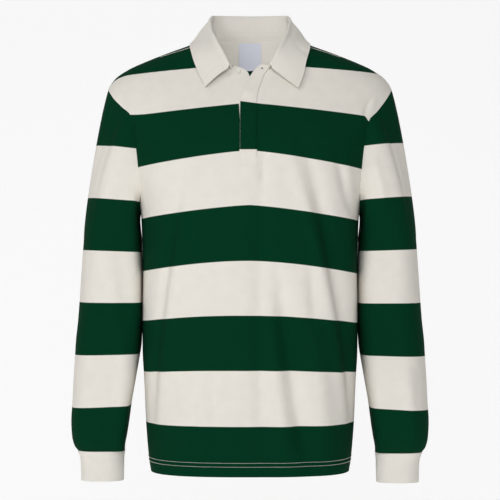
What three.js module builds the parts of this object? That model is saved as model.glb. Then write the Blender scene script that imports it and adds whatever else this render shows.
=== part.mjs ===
import * as THREE from 'three';

// Driving sizes, in millimetres
const clothWall = 2.0;
const collarWall = 1.7;
const cuffWall = 2.4;
const facingWall = 1.0;
const seamGap = 0.5;
const layerGap = 0.3;
const hemLevel = -730;
const hemSideDrop = 2;
const underarmLevel = -286;
const shoulderTipReach = 247;
const neckReach = 85;
const shoulderSeamForward = 1.5;
const cuffLength = 51.5;
const cuffDrop = { left: 0, right: -3 };
const rightArmholeSag = 8;
const slitEnd = -192;
const stripWall = 1.2;
const stripStep = 12;
const collarEndShare = 0.352;
const collarShoulderShare = 0.52;
const collarShoulderTurn = 0.06;
const collarFootRise = 1.8;
const collarEndRise = 3.1;
const rightLeafPoint = { out: 6, down: 2.5 };
const collarFootSink = 0.9;
const collarStandOff = 1.4;
const facingReach = 60;
const facingDrop = 46;
const facingRise = 1.5;
const facingGap = 1.5;
const labelWidth = 40;
const labelLength = 46;
const buttonDiameter = 11;
const buttonThickness = 2.6;
const buttonAcross = -21.5;
const buttonLevel = -45.5;

// The shoulder ridge beside the neck, a shallow arch that the sections run on from
const neckRidge = { reach: 80, level: 22, fall: 160 };
const ridgeLowest = -85;

// Colours of the two yarns and of the small parts
const greenYarn = 0x0b3d25;
const whiteYarn = 0xe6e1d8;
const labelWhite = 0xe6e7ef;
const rubberWhite = 0xe9e6de;

// Heights of the body with the half width and the depth to the front and to the back
const bodySections = [
  { z: -760, half: 170, front: 146, back: 140, power: 2.75 },
  { z: -732, half: 172.5, front: 147, back: 141, power: 2.75 },
  { z: -717, half: 175, front: 147, back: 142, power: 2.75 },
  { z: -682, half: 178.5, front: 148, back: 142, power: 2.75 },
  { z: -647, half: 181, front: 148, back: 142, power: 2.75 },
  { z: -577, half: 184, front: 148, back: 141, power: 2.75 },
  { z: -525, half: 187, front: 149, back: 140, power: 2.75 },
  { z: -472, half: 187.5, front: 149, back: 139, power: 2.75 },
  { z: -402, half: 186.5, front: 150, back: 138, power: 2.75 },
  { z: -330, half: 188, front: 150, back: 138, power: 2.75 },
  { z: -286, half: 190, front: 149, back: 138, power: 2.75 },
  { z: -230, half: 202, front: 144, back: 136, power: 2.65 },
  { z: -170, half: 219, front: 134, back: 130, power: 2.5 },
  { z: -140, half: 232, front: 125, back: 123, power: 2.42 },
  { z: -115, half: 245, front: 114, back: 113, power: 2.36 },
  { z: -100, half: 249.5, front: 106, back: 106, power: 2.32 },
  { z: -85, half: 251, front: 98, back: 98, power: 2.31 },
  { z: -70, half: 247.5, front: 90, back: 90, power: 2.3 },
  { z: -52, half: 236, front: 80, back: 81, power: 2.3 },
  { z: -35, half: 211.7, front: 72, back: 75, power: 2.3 },
  { z: -24.5, half: 189, front: 69, back: 70, power: 2.3 },
  { z: -17.5, half: 172, front: 67, back: 67, power: 2.3 },
  { z: -10.5, half: 154, front: 65, back: 64, power: 2.3 },
  { z: -3.5, half: 135, front: 63, back: 62, power: 2.3 },
  { z: 7, half: 106, front: 59, back: 59, power: 2.3 },
  { z: 16, half: 86, front: 57, back: 57, power: 2.3 },
  { z: 22, half: 80, front: 55, back: 56, power: 2.3 },
  { z: 40, half: 66, front: 50, back: 53, power: 2.3 },
];

// Armhole edge of the front and of the back, from the shoulder tip to the underarm
const armholeEdge = {
  front: [
    { at: 0, x: 247, z: -71.5 },
    { at: 0.12, x: 236, z: -88 },
    { at: 0.24, x: 220, z: -104.5 },
    { at: 0.34, x: 205, z: -119 },
    { at: 0.5, x: 198, z: -156 },
    { at: 0.68, x: 192.5, z: -204 },
    { at: 0.86, x: 189, z: -254 },
    { at: 1, x: 190, z: -286 },
  ],
  back: [
    { at: 0, x: 247, z: -71.5 },
    { at: 0.12, x: 238, z: -86 },
    { at: 0.24, x: 225, z: -102 },
    { at: 0.36, x: 213, z: -122 },
    { at: 0.52, x: 203, z: -160 },
    { at: 0.7, x: 194.5, z: -208 },
    { at: 0.86, x: 189.5, z: -254 },
    { at: 1, x: 190, z: -286 },
  ],
};

// Neckline of the front and of the back, from the centre to the shoulder
const neckline = {
  front: [
    { at: 0, x: 0, z: -60 },
    { at: 0.2, x: 17, z: -55 },
    { at: 0.4, x: 34, z: -39 },
    { at: 0.6, x: 52, z: -25.5 },
    { at: 0.76, x: 66, z: -13.5 },
    { at: 0.9, x: 79, z: 1 },
    { at: 1, x: 85, z: 14.2 },
  ],
  back: [
    { at: 0, x: 0, z: 20 },
    { at: 0.4, x: 34, z: 20 },
    { at: 0.6, x: 51, z: 19.4 },
    { at: 0.8, x: 69, z: 17.6 },
    { at: 1, x: 85, z: 14.2 },
  ],
};

// Folds of the body: a line from its upper end to its lower end and how far it bows
// outwards from straight, then the fold's height out of the cloth and its half width
const bodyFolds = [
  { face: 'front', x1: 102, z1: -205, x2: 182, z2: -650, bow: 9, high: -10, wide: 14 },
  { face: 'front', x1: 80, z1: -225, x2: 160, z2: -600, bow: 8, high: 5, wide: 13 },
  { face: 'front', x1: 151, z1: -200, x2: 171, z2: -290, bow: 0, high: -5, wide: 9 },
  { face: 'front', x1: 20, z1: -215, x2: 20, z2: -680, bow: -3, high: -5, wide: 14 },
  { face: 'front', x1: 48, z1: -400, x2: 92, z2: -700, bow: -3, high: -8, wide: 12 },
  { face: 'front', x1: 28, z1: -470, x2: 62, z2: -700, bow: 2, high: 3, wide: 14 },
  { face: 'front', x1: 165, z1: -215, x2: 177, z2: -500, bow: 0, high: 4, wide: 12 },
  { face: 'front', x1: 62, z1: -420, x2: 104, z2: -700, bow: -2, high: -4, wide: 14 },
  { face: 'front', x1: 108, z1: -470, x2: 134, z2: -700, bow: 0, high: 4, wide: 16 },
  { face: 'front', x1: 103, z1: -385, x2: 108, z2: -480, bow: 0, high: -3, wide: 9 },
  { face: 'front', x1: -115, z1: -240, x2: -167, z2: -640, bow: -7, high: -5, wide: 8 },
  { face: 'front', x1: -97, z1: -240, x2: -150, z2: -600, bow: -7, high: 3, wide: 14 },
  { face: 'front', x1: -96, z1: -560, x2: -100, z2: -720, bow: 0, high: -2.5, wide: 9 },
  { face: 'front', x1: -62, z1: -560, x2: -64, z2: -720, bow: 0, high: -2, wide: 9 },
  { face: 'front', x1: 24, z1: -185, x2: 22, z2: -235, bow: 0, high: -3, wide: 7 },
  { face: 'back', x1: 110, z1: -190, x2: 150, z2: -560, bow: 6, high: -8, wide: 17 },
  { face: 'back', x1: -108, z1: -200, x2: -156, z2: -580, bow: -6, high: -8, wide: 16 },
  { face: 'back', x1: 58, z1: -330, x2: 74, z2: -700, bow: 0, high: -6, wide: 18 },
  { face: 'back', x1: -50, z1: -350, x2: -66, z2: -700, bow: 0, high: -5, wide: 19 },
  { face: 'back', x1: 2, z1: -250, x2: 8, z2: -640, bow: 0, high: -3, wide: 18 },
  { face: 'back', x1: 84, z1: -120, x2: 40, z2: -250, bow: 0, high: -3, wide: 16 },
  { face: 'back', x1: -88, z1: -115, x2: -46, z2: -240, bow: 0, high: -3, wide: 17 },
];

// Heights of the sleeve with its outer and inner reach, half depth and middle
const sleeveSections = [
  { z: -330, outer: 289, inner: 191.5, deep: 84, middle: 14 },
  { z: -402, outer: 294, inner: 189.8, deep: 81, middle: 13 },
  { z: -472, outer: 299, inner: 190, deep: 78, middle: 11 },
  { z: -511, outer: 303, inner: 191.5, deep: 75, middle: 9 },
  { z: -542, outer: 304.5, inner: 196, deep: 72, middle: 6 },
  { z: -577, outer: 306.5, inner: 202, deep: 69, middle: 3 },
  { z: -612, outer: 308, inner: 208, deep: 65, middle: 0 },
  { z: -647, outer: 310, inner: 212.5, deep: 60, middle: -3 },
  { z: -673, outer: 308.5, inner: 216.5, deep: 52, middle: -6 },
  { z: -689, outer: 304.5, inner: 219.5, deep: 44, middle: -7 },
  { z: -698, outer: 298, inner: 220, deep: 35, middle: -8 },
];

// How square each sleeve's front is, on its inner side against the body and its outer side,
// and how square the cuffs are
const sleeveInnerPower = { left: 5, right: 3.4 };
const sleeveOuterPower = 2.5;
const cuffPower = 2.7;

// Heads of the sleeve: where its cloth sets off from the armhole, and how far the bend reaches
const sleeveHead = [
  { at: 0, out: -0.45, fore: 0, down: -0.89, start: 120, finish: 150 },
  { at: 0.12, out: -0.62, fore: -0.06, down: -0.78, start: 110, finish: 140 },
  { at: 0.25, out: -0.93, fore: -0.16, down: -0.36, start: 84, finish: 118 },
  { at: 0.4, out: -0.75, fore: -0.12, down: -0.65, start: 56, finish: 66 },
  { at: 0.46, out: -0.6, fore: -0.04, down: -0.8, start: 40, finish: 40 },
  { at: 0.5, out: -0.42, fore: 0, down: -0.9, start: 30, finish: 24 },
];

// Folds of the sleeves: share of the way round from the outer edge through the front at the
// fold's upper and lower ends, their heights, the push out of the cloth and the half width
const sleeveFolds = [
  { side: 'left', turn1: 0.26, turn2: 0.355, z1: -370, z2: -590, high: -4.5, wide: 0.035 },
  { side: 'left', turn1: 0.342, turn2: 0.352, z1: -530, z2: -690, high: -5, wide: 0.03 },
  { side: 'left', turn1: 0.2, turn2: 0.2, z1: -470, z2: -690, high: 2.5, wide: 0.06 },
  { side: 'right', turn1: 0.262, turn2: 0.262, z1: -165, z2: -300, high: -5, wide: 0.035 },
  { side: 'right', turn1: 0.2, turn2: 0.19, z1: -560, z2: -685, high: -4, wide: 0.035 },
  { side: 'left', turn1: 0.68, turn2: 0.74, z1: -250, z2: -650, high: -5, wide: 0.06 },
  { side: 'right', turn1: 0.66, turn2: 0.72, z1: -230, z2: -640, high: -5, wide: 0.06 },
  { side: 'left', turn1: 0.8, turn2: 0.84, z1: -420, z2: -620, high: -3, wide: 0.05 },
  { side: 'right', turn1: 0.82, turn2: 0.8, z1: -380, z2: -600, high: -3, wide: 0.05 },
];

// Cuff from its seam to its edge
const cuffSections = [
  { at: 0, half: 39, deep: 35, x: 259, y: -8 },
  { at: 0.1, half: 37.4, deep: 33, x: 258.4, y: -8.4 },
  { at: 0.25, half: 35.6, deep: 31.4, x: 257.6, y: -9 },
  { at: 0.6, half: 34.8, deep: 30.6, x: 257, y: -10 },
  { at: 1, half: 34.4, deep: 30.4, x: 257, y: -11 },
];

// Collar from the centre back to the front end: roll line and leaf edge
const collarRows = [
  { at: 0, rx: 0, ry: 61, rz: 66.5, ex: 0, ey: 74, ez: 12 },
  { at: 0.2, rx: 38, ry: 57, rz: 66.5, ex: 48, ey: 71, ez: 11 },
  { at: 0.38, rx: 65.5, ry: 39, rz: 65, ex: 84, ey: 50, ez: 10 },
  { at: 0.52, rx: 70, ry: 8, rz: 55, ex: 103, ey: 6, ez: 10.5 },
  { at: 0.66, rx: 66.5, ry: -29, rz: 33, ex: 102, ey: -44, ez: -5 },
  { at: 0.78, rx: 58, ry: -59, rz: 13, ex: 98.5, ey: -66, ez: -20 },
  { at: 0.9, rx: 47, ry: -78, rz: -9, ex: 90, ey: -81, ez: -43 },
  { at: 1, rx: 34, ry: -87, rz: -34, ex: 76, ey: -98, ez: -72 },
];

// Placket strips: height, free edge and sewn edge
const overPlacket = [
  { z: -211, free: -17.6, sewn: 11.8 },
  { z: -182, free: -17.6, sewn: 11.8 },
  { z: -140, free: -17.4, sewn: 11.8 },
  { z: -98, free: -16.4, sewn: 12.2 },
  { z: -88, free: -13.4, sewn: 13.4 },
  { z: -76, free: -9, sewn: 16 },
  { z: -62, free: -2.5, sewn: 20.6 },
  { z: -50, free: 4.2, sewn: 25.4 },
  { z: -42, free: 10.6, sewn: 27.6 },
  { z: -35, free: 18.5, sewn: 28 },
];
const underPlacket = [
  { z: -186, free: 10, sewn: -16.5 },
  { z: -165, free: 10, sewn: -16.5 },
  { z: -140, free: 9.6, sewn: -17 },
  { z: -98, free: 8, sewn: -19 },
  { z: -76, free: 4, sewn: -24 },
  { z: -62, free: 0.6, sewn: -27.5 },
  { z: -54, free: -0.8, sewn: -28.5 },
  { z: -47, free: -3.6, sewn: -28.5 },
  { z: -42, free: -9, sewn: -28.2 },
  { z: -38.5, free: -16, sewn: -27.8 },
];

// Smooth reading of a table by one of its columns
function slopeAt(rows, key, by, i) {
  const last = rows.length - 1;
  const step = (j) => (rows[j + 1][key] - rows[j][key]) / (rows[j + 1][by] - rows[j][by]);
  if (i === 0) return step(0);
  if (i === last) return step(last - 1);
  const before = step(i - 1);
  const after = step(i);
  if (before * after <= 0) return 0;
  return (2 * before * after) / (before + after);
}

function readTable(rows, by, value, key) {
  const last = rows.length - 1;
  const v = Math.min(Math.max(value, rows[0][by]), rows[last][by]);
  let i = 0;
  while (i < last - 1 && v > rows[i + 1][by]) i += 1;
  const span = rows[i + 1][by] - rows[i][by];
  const t = (v - rows[i][by]) / span;
  const m0 = slopeAt(rows, key, by, i) * span;
  const m1 = slopeAt(rows, key, by, i + 1) * span;
  const t2 = t * t;
  const t3 = t2 * t;
  const start = (2 * t3 - 3 * t2 + 1) * rows[i][key] + (t3 - 2 * t2 + t) * m0;
  return start + (3 * t2 - 2 * t3) * rows[i + 1][key] + (t3 - t2) * m1;
}

function smooth(from, to, value) {
  const t = Math.min(Math.max((value - from) / (to - from), 0), 1);
  return t * t * (3 - 2 * t);
}

// Height of the shoulder ridge above a point across the shirt
function ridgeLevel(x) {
  const reach = Math.abs(x);
  if (reach <= neckRidge.reach) {
    return neckRidge.level + (neckRidge.reach ** 2 - reach ** 2) / neckRidge.fall;
  }
  let high = neckRidge.level;
  let low = ridgeLowest;
  for (let i = 0; i < 40; i += 1) {
    const mid = (high + low) / 2;
    if (readTable(bodySections, 'z', mid, 'half') < reach) high = mid;
    else low = mid;
  }
  return (high + low) / 2;
}

// Push of the folds out of the body's face
function foldPush(face, x, z) {
  let push = 0;
  for (const fold of bodyFolds) {
    if (fold.face === face) {
      const along = (z - fold.z1) / (fold.z2 - fold.z1);
      const straight = fold.x1 + (fold.x2 - fold.x1) * Math.min(Math.max(along, -0.3), 1.3);
      const line = straight + 4 * fold.bow * along * (1 - along);
      const away = (x - line) / fold.wide;
      const ends = smooth(-0.25, 0.3, along) * (1 - smooth(0.75, 1.25, along));
      push += fold.high * Math.exp(-away * away) * ends;
    }
  }
  const half = readTable(bodySections, 'z', z, 'half');
  const clearOfSide = 1 - smooth(0.93, 0.995, Math.abs(x) / half);
  const clearOfHem = 0.55 + 0.45 * smooth(hemLevel, hemLevel + 41, z);
  return push * clearOfSide * clearOfHem;
}

// A point of the body's outer face, with the direction out of the cloth
function bodyPoint(face, x, z, lift) {
  const half = readTable(bodySections, 'z', z, 'half');
  const power = readTable(bodySections, 'z', z, 'power');
  const reach = Math.min(Math.abs(x) / half, 1);
  const shape = (px, pz) => {
    const a = readTable(bodySections, 'z', pz, 'half');
    const b = readTable(bodySections, 'z', pz, face);
    return (py) => (Math.abs(px) / a) ** power + (Math.abs(py) / b) ** power;
  };
  const depth = readTable(bodySections, 'z', z, face);
  const sign = face === 'front' ? -1 : 1;
  const y = sign * Math.max(depth * (1 - reach ** power) ** (1 / power), seamGap / 2);
  const small = 0.5;
  const nx = Math.sign(x) * (reach ** (power - 1)) / half;
  const ny = sign * ((Math.abs(y) / depth) ** (power - 1)) / depth;
  const nz = (shape(x, z + small)(y) - shape(x, z - small)(y)) / (2 * small * power);
  const normal = new THREE.Vector3(nx, ny, nz).normalize();
  if (reach > 0.9995 && z < underarmLevel + 1) normal.set(Math.sign(x), 0, 0);
  const push = foldPush(face, x, z) * smooth(-60, -150, z) + lift;
  const place = new THREE.Vector3(x, y, z).addScaledVector(normal, push);
  return { place, normal };
}

// A closed wall from rows of points with their directions out of the cloth
function wall(name, rows, thickness, colour, options) {
  const settings = { round: false, open: () => false, roughness: 0.9, ...options };
  const high = rows.length;
  const wide = rows[0].length;
  const turns = settings.round ? wide : wide - 1;
  const positions = [];
  const indices = [];
  const index = (side, i, j) => side * high * wide + i * wide + (j % wide);
  for (const side of [0, 1]) {
    for (const row of rows) {
      for (const { place, normal } of row) {
        const p = place.clone().addScaledVector(normal, -thickness * side);
        positions.push(p.x, p.y, p.z);
      }
    }
  }
  const filled = (i, j) => {
    const column = settings.round ? (j + turns) % turns : j;
    if (i < 0 || i >= high - 1 || column < 0 || column >= turns) return false;
    return !settings.open(i, column);
  };
  const quad = (a, b, c, d) => indices.push(a, b, c, a, c, d);
  for (let i = 0; i < high - 1; i += 1) {
    for (let j = 0; j < turns; j += 1) {
      if (filled(i, j)) {
        quad(index(0, i, j), index(0, i, j + 1), index(0, i + 1, j + 1), index(0, i + 1, j));
        quad(index(1, i, j), index(1, i + 1, j), index(1, i + 1, j + 1), index(1, i, j + 1));
        if (!filled(i - 1, j)) {
          quad(index(1, i, j), index(1, i, j + 1), index(0, i, j + 1), index(0, i, j));
        }
        if (!filled(i + 1, j)) {
          quad(index(0, i + 1, j), index(0, i + 1, j + 1), index(1, i + 1, j + 1), index(1, i + 1, j));
        }
        if (!filled(i, j - 1)) {
          quad(index(1, i, j), index(0, i, j), index(0, i + 1, j), index(1, i + 1, j));
        }
        if (!filled(i, j + 1)) {
          quad(index(0, i, j + 1), index(1, i, j + 1), index(1, i + 1, j + 1), index(0, i + 1, j + 1));
        }
      }
    }
  }
  return solid(name, positions, indices, colour, settings.roughness);
}

// A mesh with its own material, faced outwards
function solid(name, positions, indices, colour, roughness) {
  const used = new Map();
  const kept = [];
  const renamed = indices.map((i) => {
    if (!used.has(i)) {
      used.set(i, kept.length / 3);
      kept.push(positions[3 * i], positions[3 * i + 1], positions[3 * i + 2]);
    }
    return used.get(i);
  });
  let volume = 0;
  const p = (i) => new THREE.Vector3(kept[3 * i], kept[3 * i + 1], kept[3 * i + 2]);
  for (let k = 0; k < renamed.length; k += 3) {
    const a = p(renamed[k]);
    const b = p(renamed[k + 1]);
    volume += a.dot(b.cross(p(renamed[k + 2])));
  }
  if (volume < 0) renamed.reverse();
  const geometry = new THREE.BufferGeometry();
  geometry.setAttribute('position', new THREE.Float32BufferAttribute(kept, 3));
  geometry.setIndex(renamed);
  geometry.computeVertexNormals();
  const material = new THREE.MeshStandardMaterial({ color: colour, roughness, metalness: 0 });
  const mesh = new THREE.Mesh(geometry, material);
  mesh.name = name;
  return mesh;
}

// Columns across the front and back, with two close ones beside the slit
const neckShare = 0.4;
const sideColumns = [0.08, 0.16, 0.24, 0.3, 0.35, 0.4, 0.5, 0.6, 0.69, 0.77, 0.84, 0.9, 0.95, 1];
const slitShare = 0.03;
const frontColumns = [...sideColumns.map((s) => -s).reverse(), -slitShare, 0, ...sideColumns];
const backColumns = [...sideColumns.map((s) => -s).reverse(), 0, ...sideColumns];
const lowerRows = [0, 0.025, 0.1, 0.2, 0.3, 0.4, 0.5, 0.6, 0.7, 0.8, 0.9, 1];
const armholeRows = [0.09, 0.2, 0.32, 0.44, 0.56, 0.66, 0.76, 0.88, 1];
const lowerShare = 0.64;
const rowShares = [
  ...lowerRows.map((r) => r * lowerShare),
  ...armholeRows.map((r) => lowerShare + r * (1 - lowerShare)),
];
const ridgeRows = [0.6, 0, -0.6, -1];

// Side edge of a panel at a share of its height: side seam, then armhole
function sideEdge(face, share, right) {
  if (share <= lowerShare) {
    const low = hemLevel - hemSideDrop;
    const z = low + (underarmLevel - low) * (share / lowerShare);
    return { x: readTable(bodySections, 'z', z, 'half'), z };
  }
  const at = 1 - (share - lowerShare) / (1 - lowerShare);
  const edge = armholeEdge[face];
  if (at <= 0) return topEdge(face, 1);
  const sag = right && face === 'front' ? rightArmholeSag * Math.exp(-(((at - 0.32) / 0.15) ** 2)) : 0;
  return { x: readTable(edge, 'at', at, 'x'), z: readTable(edge, 'at', at, 'z') - sag };
}

// Top edge of a panel from the centre to the side: neckline, then shoulder seam
function topEdge(face, side) {
  if (side < neckShare) {
    const at = side / neckShare;
    return { x: readTable(neckline[face], 'at', at, 'x'), z: readTable(neckline[face], 'at', at, 'z') };
  }
  const x = neckReach + ((side - neckShare) / (1 - neckShare)) * (shoulderTipReach - neckReach);
  return { x, z: ridgeLevel(x) - shoulderSeamForward ** 2 };
}

// Place of a panel's point in the front view, from its share across and its share of the height
function panelPlace(face, across, share) {
  const side = Math.abs(across);
  const spread = Math.sin((side * Math.PI) / 2);
  const centreTop = neckline[face][0].z;
  const underarmShare = (underarmLevel + 4 - hemLevel) / (centreTop - hemLevel);
  const centreShare = share <= lowerShare
    ? (share / lowerShare) * underarmShare
    : underarmShare + ((share - lowerShare) / (1 - lowerShare)) * (1 - underarmShare);
  const centre = hemLevel + (centreTop - hemLevel) * centreShare;
  const edge = sideEdge(face, share, across > 0);
  const top = topEdge(face, side);
  const tip = topEdge(face, 1);
  const pull = share ** 5;
  const blend = side * side;
  const x = edge.x * spread + pull * (top.x - tip.x * spread);
  const z = centre * (1 - blend) + edge.z * blend + pull * (top.z - centreTop * (1 - blend) - tip.z * blend);
  return { x: Math.sign(across) * x, z };
}

// Rows of a panel from the hem up, and for the back on over the shoulder ridge
function panelRows(face, columns) {
  const rows = rowShares.map((share) => columns.map((across) => {
    const { x, z } = panelPlace(face, across, share);
    return bodyPoint(face, x, z, 0);
  }));
  if (face === 'back') {
    for (const step of ridgeRows) {
      rows.push(columns.map((across) => {
        const side = Math.max(Math.abs(across), neckShare);
        const x = Math.sign(across) * topEdge('back', side).x;
        const forward = step * shoulderSeamForward * (step === -1 ? 0.985 : 1);
        const z = ridgeLevel(x) - forward ** 2;
        const over = bodyPoint(step < 0 ? 'front' : 'back', x, z, 0);
        if (step === 0) over.place.y = 0;
        return over;
      }));
    }
  }
  return rows;
}

const frontRows = panelRows('front', frontColumns);
const backRows = panelRows('back', backColumns);
const topRow = rowShares.length - 1;
for (const point of frontRows[topRow]) {
  const along = new THREE.Vector3(0, -0.35, -0.35);
  if (Math.abs(point.place.x) > neckReach - 1) point.place.add(along);
}
const slitColumn = frontColumns.indexOf(-slitShare);
const slitRow = frontRows.findIndex((row) => row[slitColumn].place.z > slitEnd);
const front = wall('front', frontRows, clothWall, greenYarn, {
  open: (i, j) => j === slitColumn && i >= slitRow,
});
const back = wall('back', backRows, clothWall, greenYarn, {
  open: (i, j) => i >= topRow && backColumns[j] < neckShare - 0.01 && backColumns[j + 1] > -neckShare + 0.01,
});

// Loop of the armhole from the ridge, down the front, up the back
function armholeLoop(side) {
  const sign = side === 'left' ? -1 : 1;
  const frontAt = sign < 0 ? 0 : frontColumns.length - 1;
  const backAt = sign < 0 ? 0 : backColumns.length - 1;
  const bottom = lowerRows.length - 1;
  const loop = [];
  loop.push(backRows[topRow + 2][backAt]);
  for (let i = topRow; i > bottom; i -= 1) loop.push(frontRows[i][frontAt]);
  const lowest = frontRows[bottom][frontAt];
  const under = lowest.place.clone();
  under.y = 0;
  loop.push({ place: under, normal: lowest.normal });
  for (let i = bottom + 1; i <= topRow; i += 1) loop.push(backRows[i][backAt]);
  loop.push(backRows[topRow + 1][backAt]);
  return loop;
}

// Share of the way round for each point of the loop, a half at the underarm
function loopShares(loop) {
  const bottom = loop.reduce((low, p, i) => (p.place.z < loop[low].place.z ? i : low), 0);
  const lengths = loop.map((p, i) => p.place.distanceTo(loop[(i + 1) % loop.length].place));
  const total = (from, to) => lengths.slice(from, to).reduce((sum, l) => sum + l, 0);
  return loop.map((p, i) => {
    if (i <= bottom) return (0.5 * total(0, i)) / total(0, bottom);
    return 0.5 + (0.5 * total(bottom, i)) / total(bottom, loop.length);
  });
}

// Rows of a sleeve from the armhole to the cuff seam
const headRows = [0, 0.08, 0.17, 0.28, 0.4, 0.53, 0.66, 0.8, 0.9];
const sleeveLevels = [-330, -366, -402, -437, -472, -511, -542, -577, -612, -647, -671, -688, -698];
function squareReach(dx, dy, power) {
  return (Math.abs(dx) ** power + Math.abs(dy) ** power) ** (-1 / power);
}

function sleeveSurface(side) {
  const sign = side === 'left' ? -1 : 1;
  return (share, z) => {
    const read = (key) => readTable(sleeveSections, 'z', z, key);
    const turn = share * 2 * Math.PI;
    const outer = read('outer');
    const inner = read('inner');
    const dx = Math.cos(turn);
    const dy = -Math.sin(turn);
    const frontPower = dx < 0 ? sleeveInnerPower[side] : sleeveOuterPower;
    const reach = squareReach(dx, dy, dy < 0 ? frontPower : 2);
    const x = sign * ((outer + inner) / 2 + (dx * reach * (outer - inner)) / 2);
    return new THREE.Vector3(x, read('middle') + dy * reach * read('deep'), z);
  };
}

// Push of the folds out of a sleeve
function sleevePush(side, share, z) {
  let push = 0;
  for (const fold of sleeveFolds) {
    if (fold.side === side) {
      const along = (z - fold.z1) / (fold.z2 - fold.z1);
      const turn = fold.turn1 + (fold.turn2 - fold.turn1) * Math.min(Math.max(along, -0.3), 1.3);
      const away = (share - turn) / fold.wide;
      const ends = smooth(-0.2, 0.3, along) * (1 - smooth(0.7, 1.1, along));
      push += fold.high * Math.exp(-away * away) * ends;
    }
  }
  return push;
}

sleeveSections.reverse();
function sleeveRows(side) {
  const sign = side === 'left' ? -1 : 1;
  const loop = armholeLoop(side);
  const shares = loopShares(loop);
  const surface = sleeveSurface(side);
  const places = headRows.map((t) => loop.map(({ place, normal }, i) => {
    const half = shares[i] <= 0.5 ? shares[i] : 1 - shares[i];
    const read = (key) => readTable(sleeveHead, 'at', half, key);
    const fore = shares[i] <= 0.5 ? read('fore') : -read('fore');
    const set = new THREE.Vector3(-sign * read('out'), fore, read('down')).normalize();
    if (half < 0.14) set.addScaledVector(normal, -set.dot(normal)).normalize();
    const standOff = seamGap + 1.1 * smooth(0.28, 0.44, half);
    const from = place.clone().addScaledVector(set, seamGap).addScaledVector(normal, standOff);
    const to = surface(shares[i], -330);
    const t2 = t * t;
    const t3 = t2 * t;
    const point = from.clone().multiplyScalar(2 * t3 - 3 * t2 + 1);
    point.addScaledVector(set, (t3 - 2 * t2 + t) * read('start'));
    point.addScaledVector(to, 3 * t2 - 2 * t3);
    point.addScaledVector(new THREE.Vector3(0, 0, -1), (t3 - t2) * read('finish'));
    return point;
  }));
  for (const z of sleeveLevels) places.push(loop.map((p, i) => surface(shares[i], z)));
  const plain = withNormals(places, true, sign);
  const folded = plain.map((row, i) => row.map(({ place, normal }, j) => {
    const free = i < headRows.length ? smooth(0.05, 0.35, headRows[i]) : 1;
    return place.clone().addScaledVector(normal, free * sleevePush(side, shares[j], place.z));
  }));
  return { rows: withNormals(folded, true, sign), shares };
}

// Directions out of a grid of points, by the points beside each one
function withNormals(places, round, sign) {
  return places.map((row, i) => row.map((place, j) => {
    const count = row.length;
    const up = places[Math.max(i - 1, 0)][j];
    const down = places[Math.min(i + 1, places.length - 1)][j];
    const before = round ? row[(j + count - 1) % count] : row[Math.max(j - 1, 0)];
    const after = round ? row[(j + 1) % count] : row[Math.min(j + 1, count - 1)];
    const normal = down.clone().sub(up).cross(after.clone().sub(before));
    return { place, normal: normal.multiplyScalar(sign).normalize() };
  }));
}

// A row turned to lie square to the tube's length
function flattenRow(row) {
  for (const point of row) {
    point.normal.z = 0;
    point.normal.normalize();
  }
}

// Sleeves and the cuffs below them
function sleeveAndCuff(side) {
  const sign = side === 'left' ? -1 : 1;
  const { rows, shares } = sleeveRows(side);
  const last = rows[rows.length - 1];
  for (const row of rows.slice(-5)) {
    const share = (rows.indexOf(row) - rows.length + 6) / 5;
    for (const point of row) point.place.z += cuffDrop[side] * Math.max(share, 0);
  }
  flattenRow(last);
  const sleeve = wall(`sleeve_${side}`, rows, clothWall, greenYarn, { round: true });
  const seam = last[0].place.z - seamGap;
  const steps = [0, 0.06, 0.16, 0.34, 0.66, 1];
  const places = steps.map((at) => shares.map((share) => {
    const read = (key) => readTable(cuffSections, 'at', at, key);
    const turn = share * 2 * Math.PI;
    const reach = squareReach(Math.cos(turn), Math.sin(turn), cuffPower);
    const x = sign * (read('x') + Math.cos(turn) * reach * read('half'));
    const y = read('y') - Math.sin(turn) * reach * read('deep');
    return new THREE.Vector3(x, y, seam - at * cuffLength);
  }));
  const cuffRows = withNormals(places, true, sign);
  flattenRow(cuffRows[0]);
  flattenRow(cuffRows[steps.length - 1]);
  const cuff = wall(`cuff_${side}`, cuffRows, cuffWall, whiteYarn, { round: true });
  return [sleeve, cuff];
}

// A point kept a distance outside the body's face
function clearOfBody(point, margin) {
  const place = point.clone();
  for (let k = 0; k < 3; k += 1) {
    const face = place.y < 0 ? 'front' : 'back';
    const measure = (q) => {
      const a = readTable(bodySections, 'z', q.z, 'half');
      const b = readTable(bodySections, 'z', q.z, face);
      const n = readTable(bodySections, 'z', q.z, 'power');
      return ((Math.abs(q.x) / a) ** n + (Math.abs(q.y) / b) ** n) ** (1 / n) - 1;
    };
    const here = measure(place);
    const slope = new THREE.Vector3();
    for (const axis of ['x', 'y', 'z']) {
      const beside = place.clone();
      beside[axis] += 0.5;
      slope[axis] = (measure(beside) - here) / 0.5;
    }
    const away = here / slope.length();
    if (away < margin) place.addScaledVector(slope.normalize(), margin - away);
  }
  return place;
}

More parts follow.
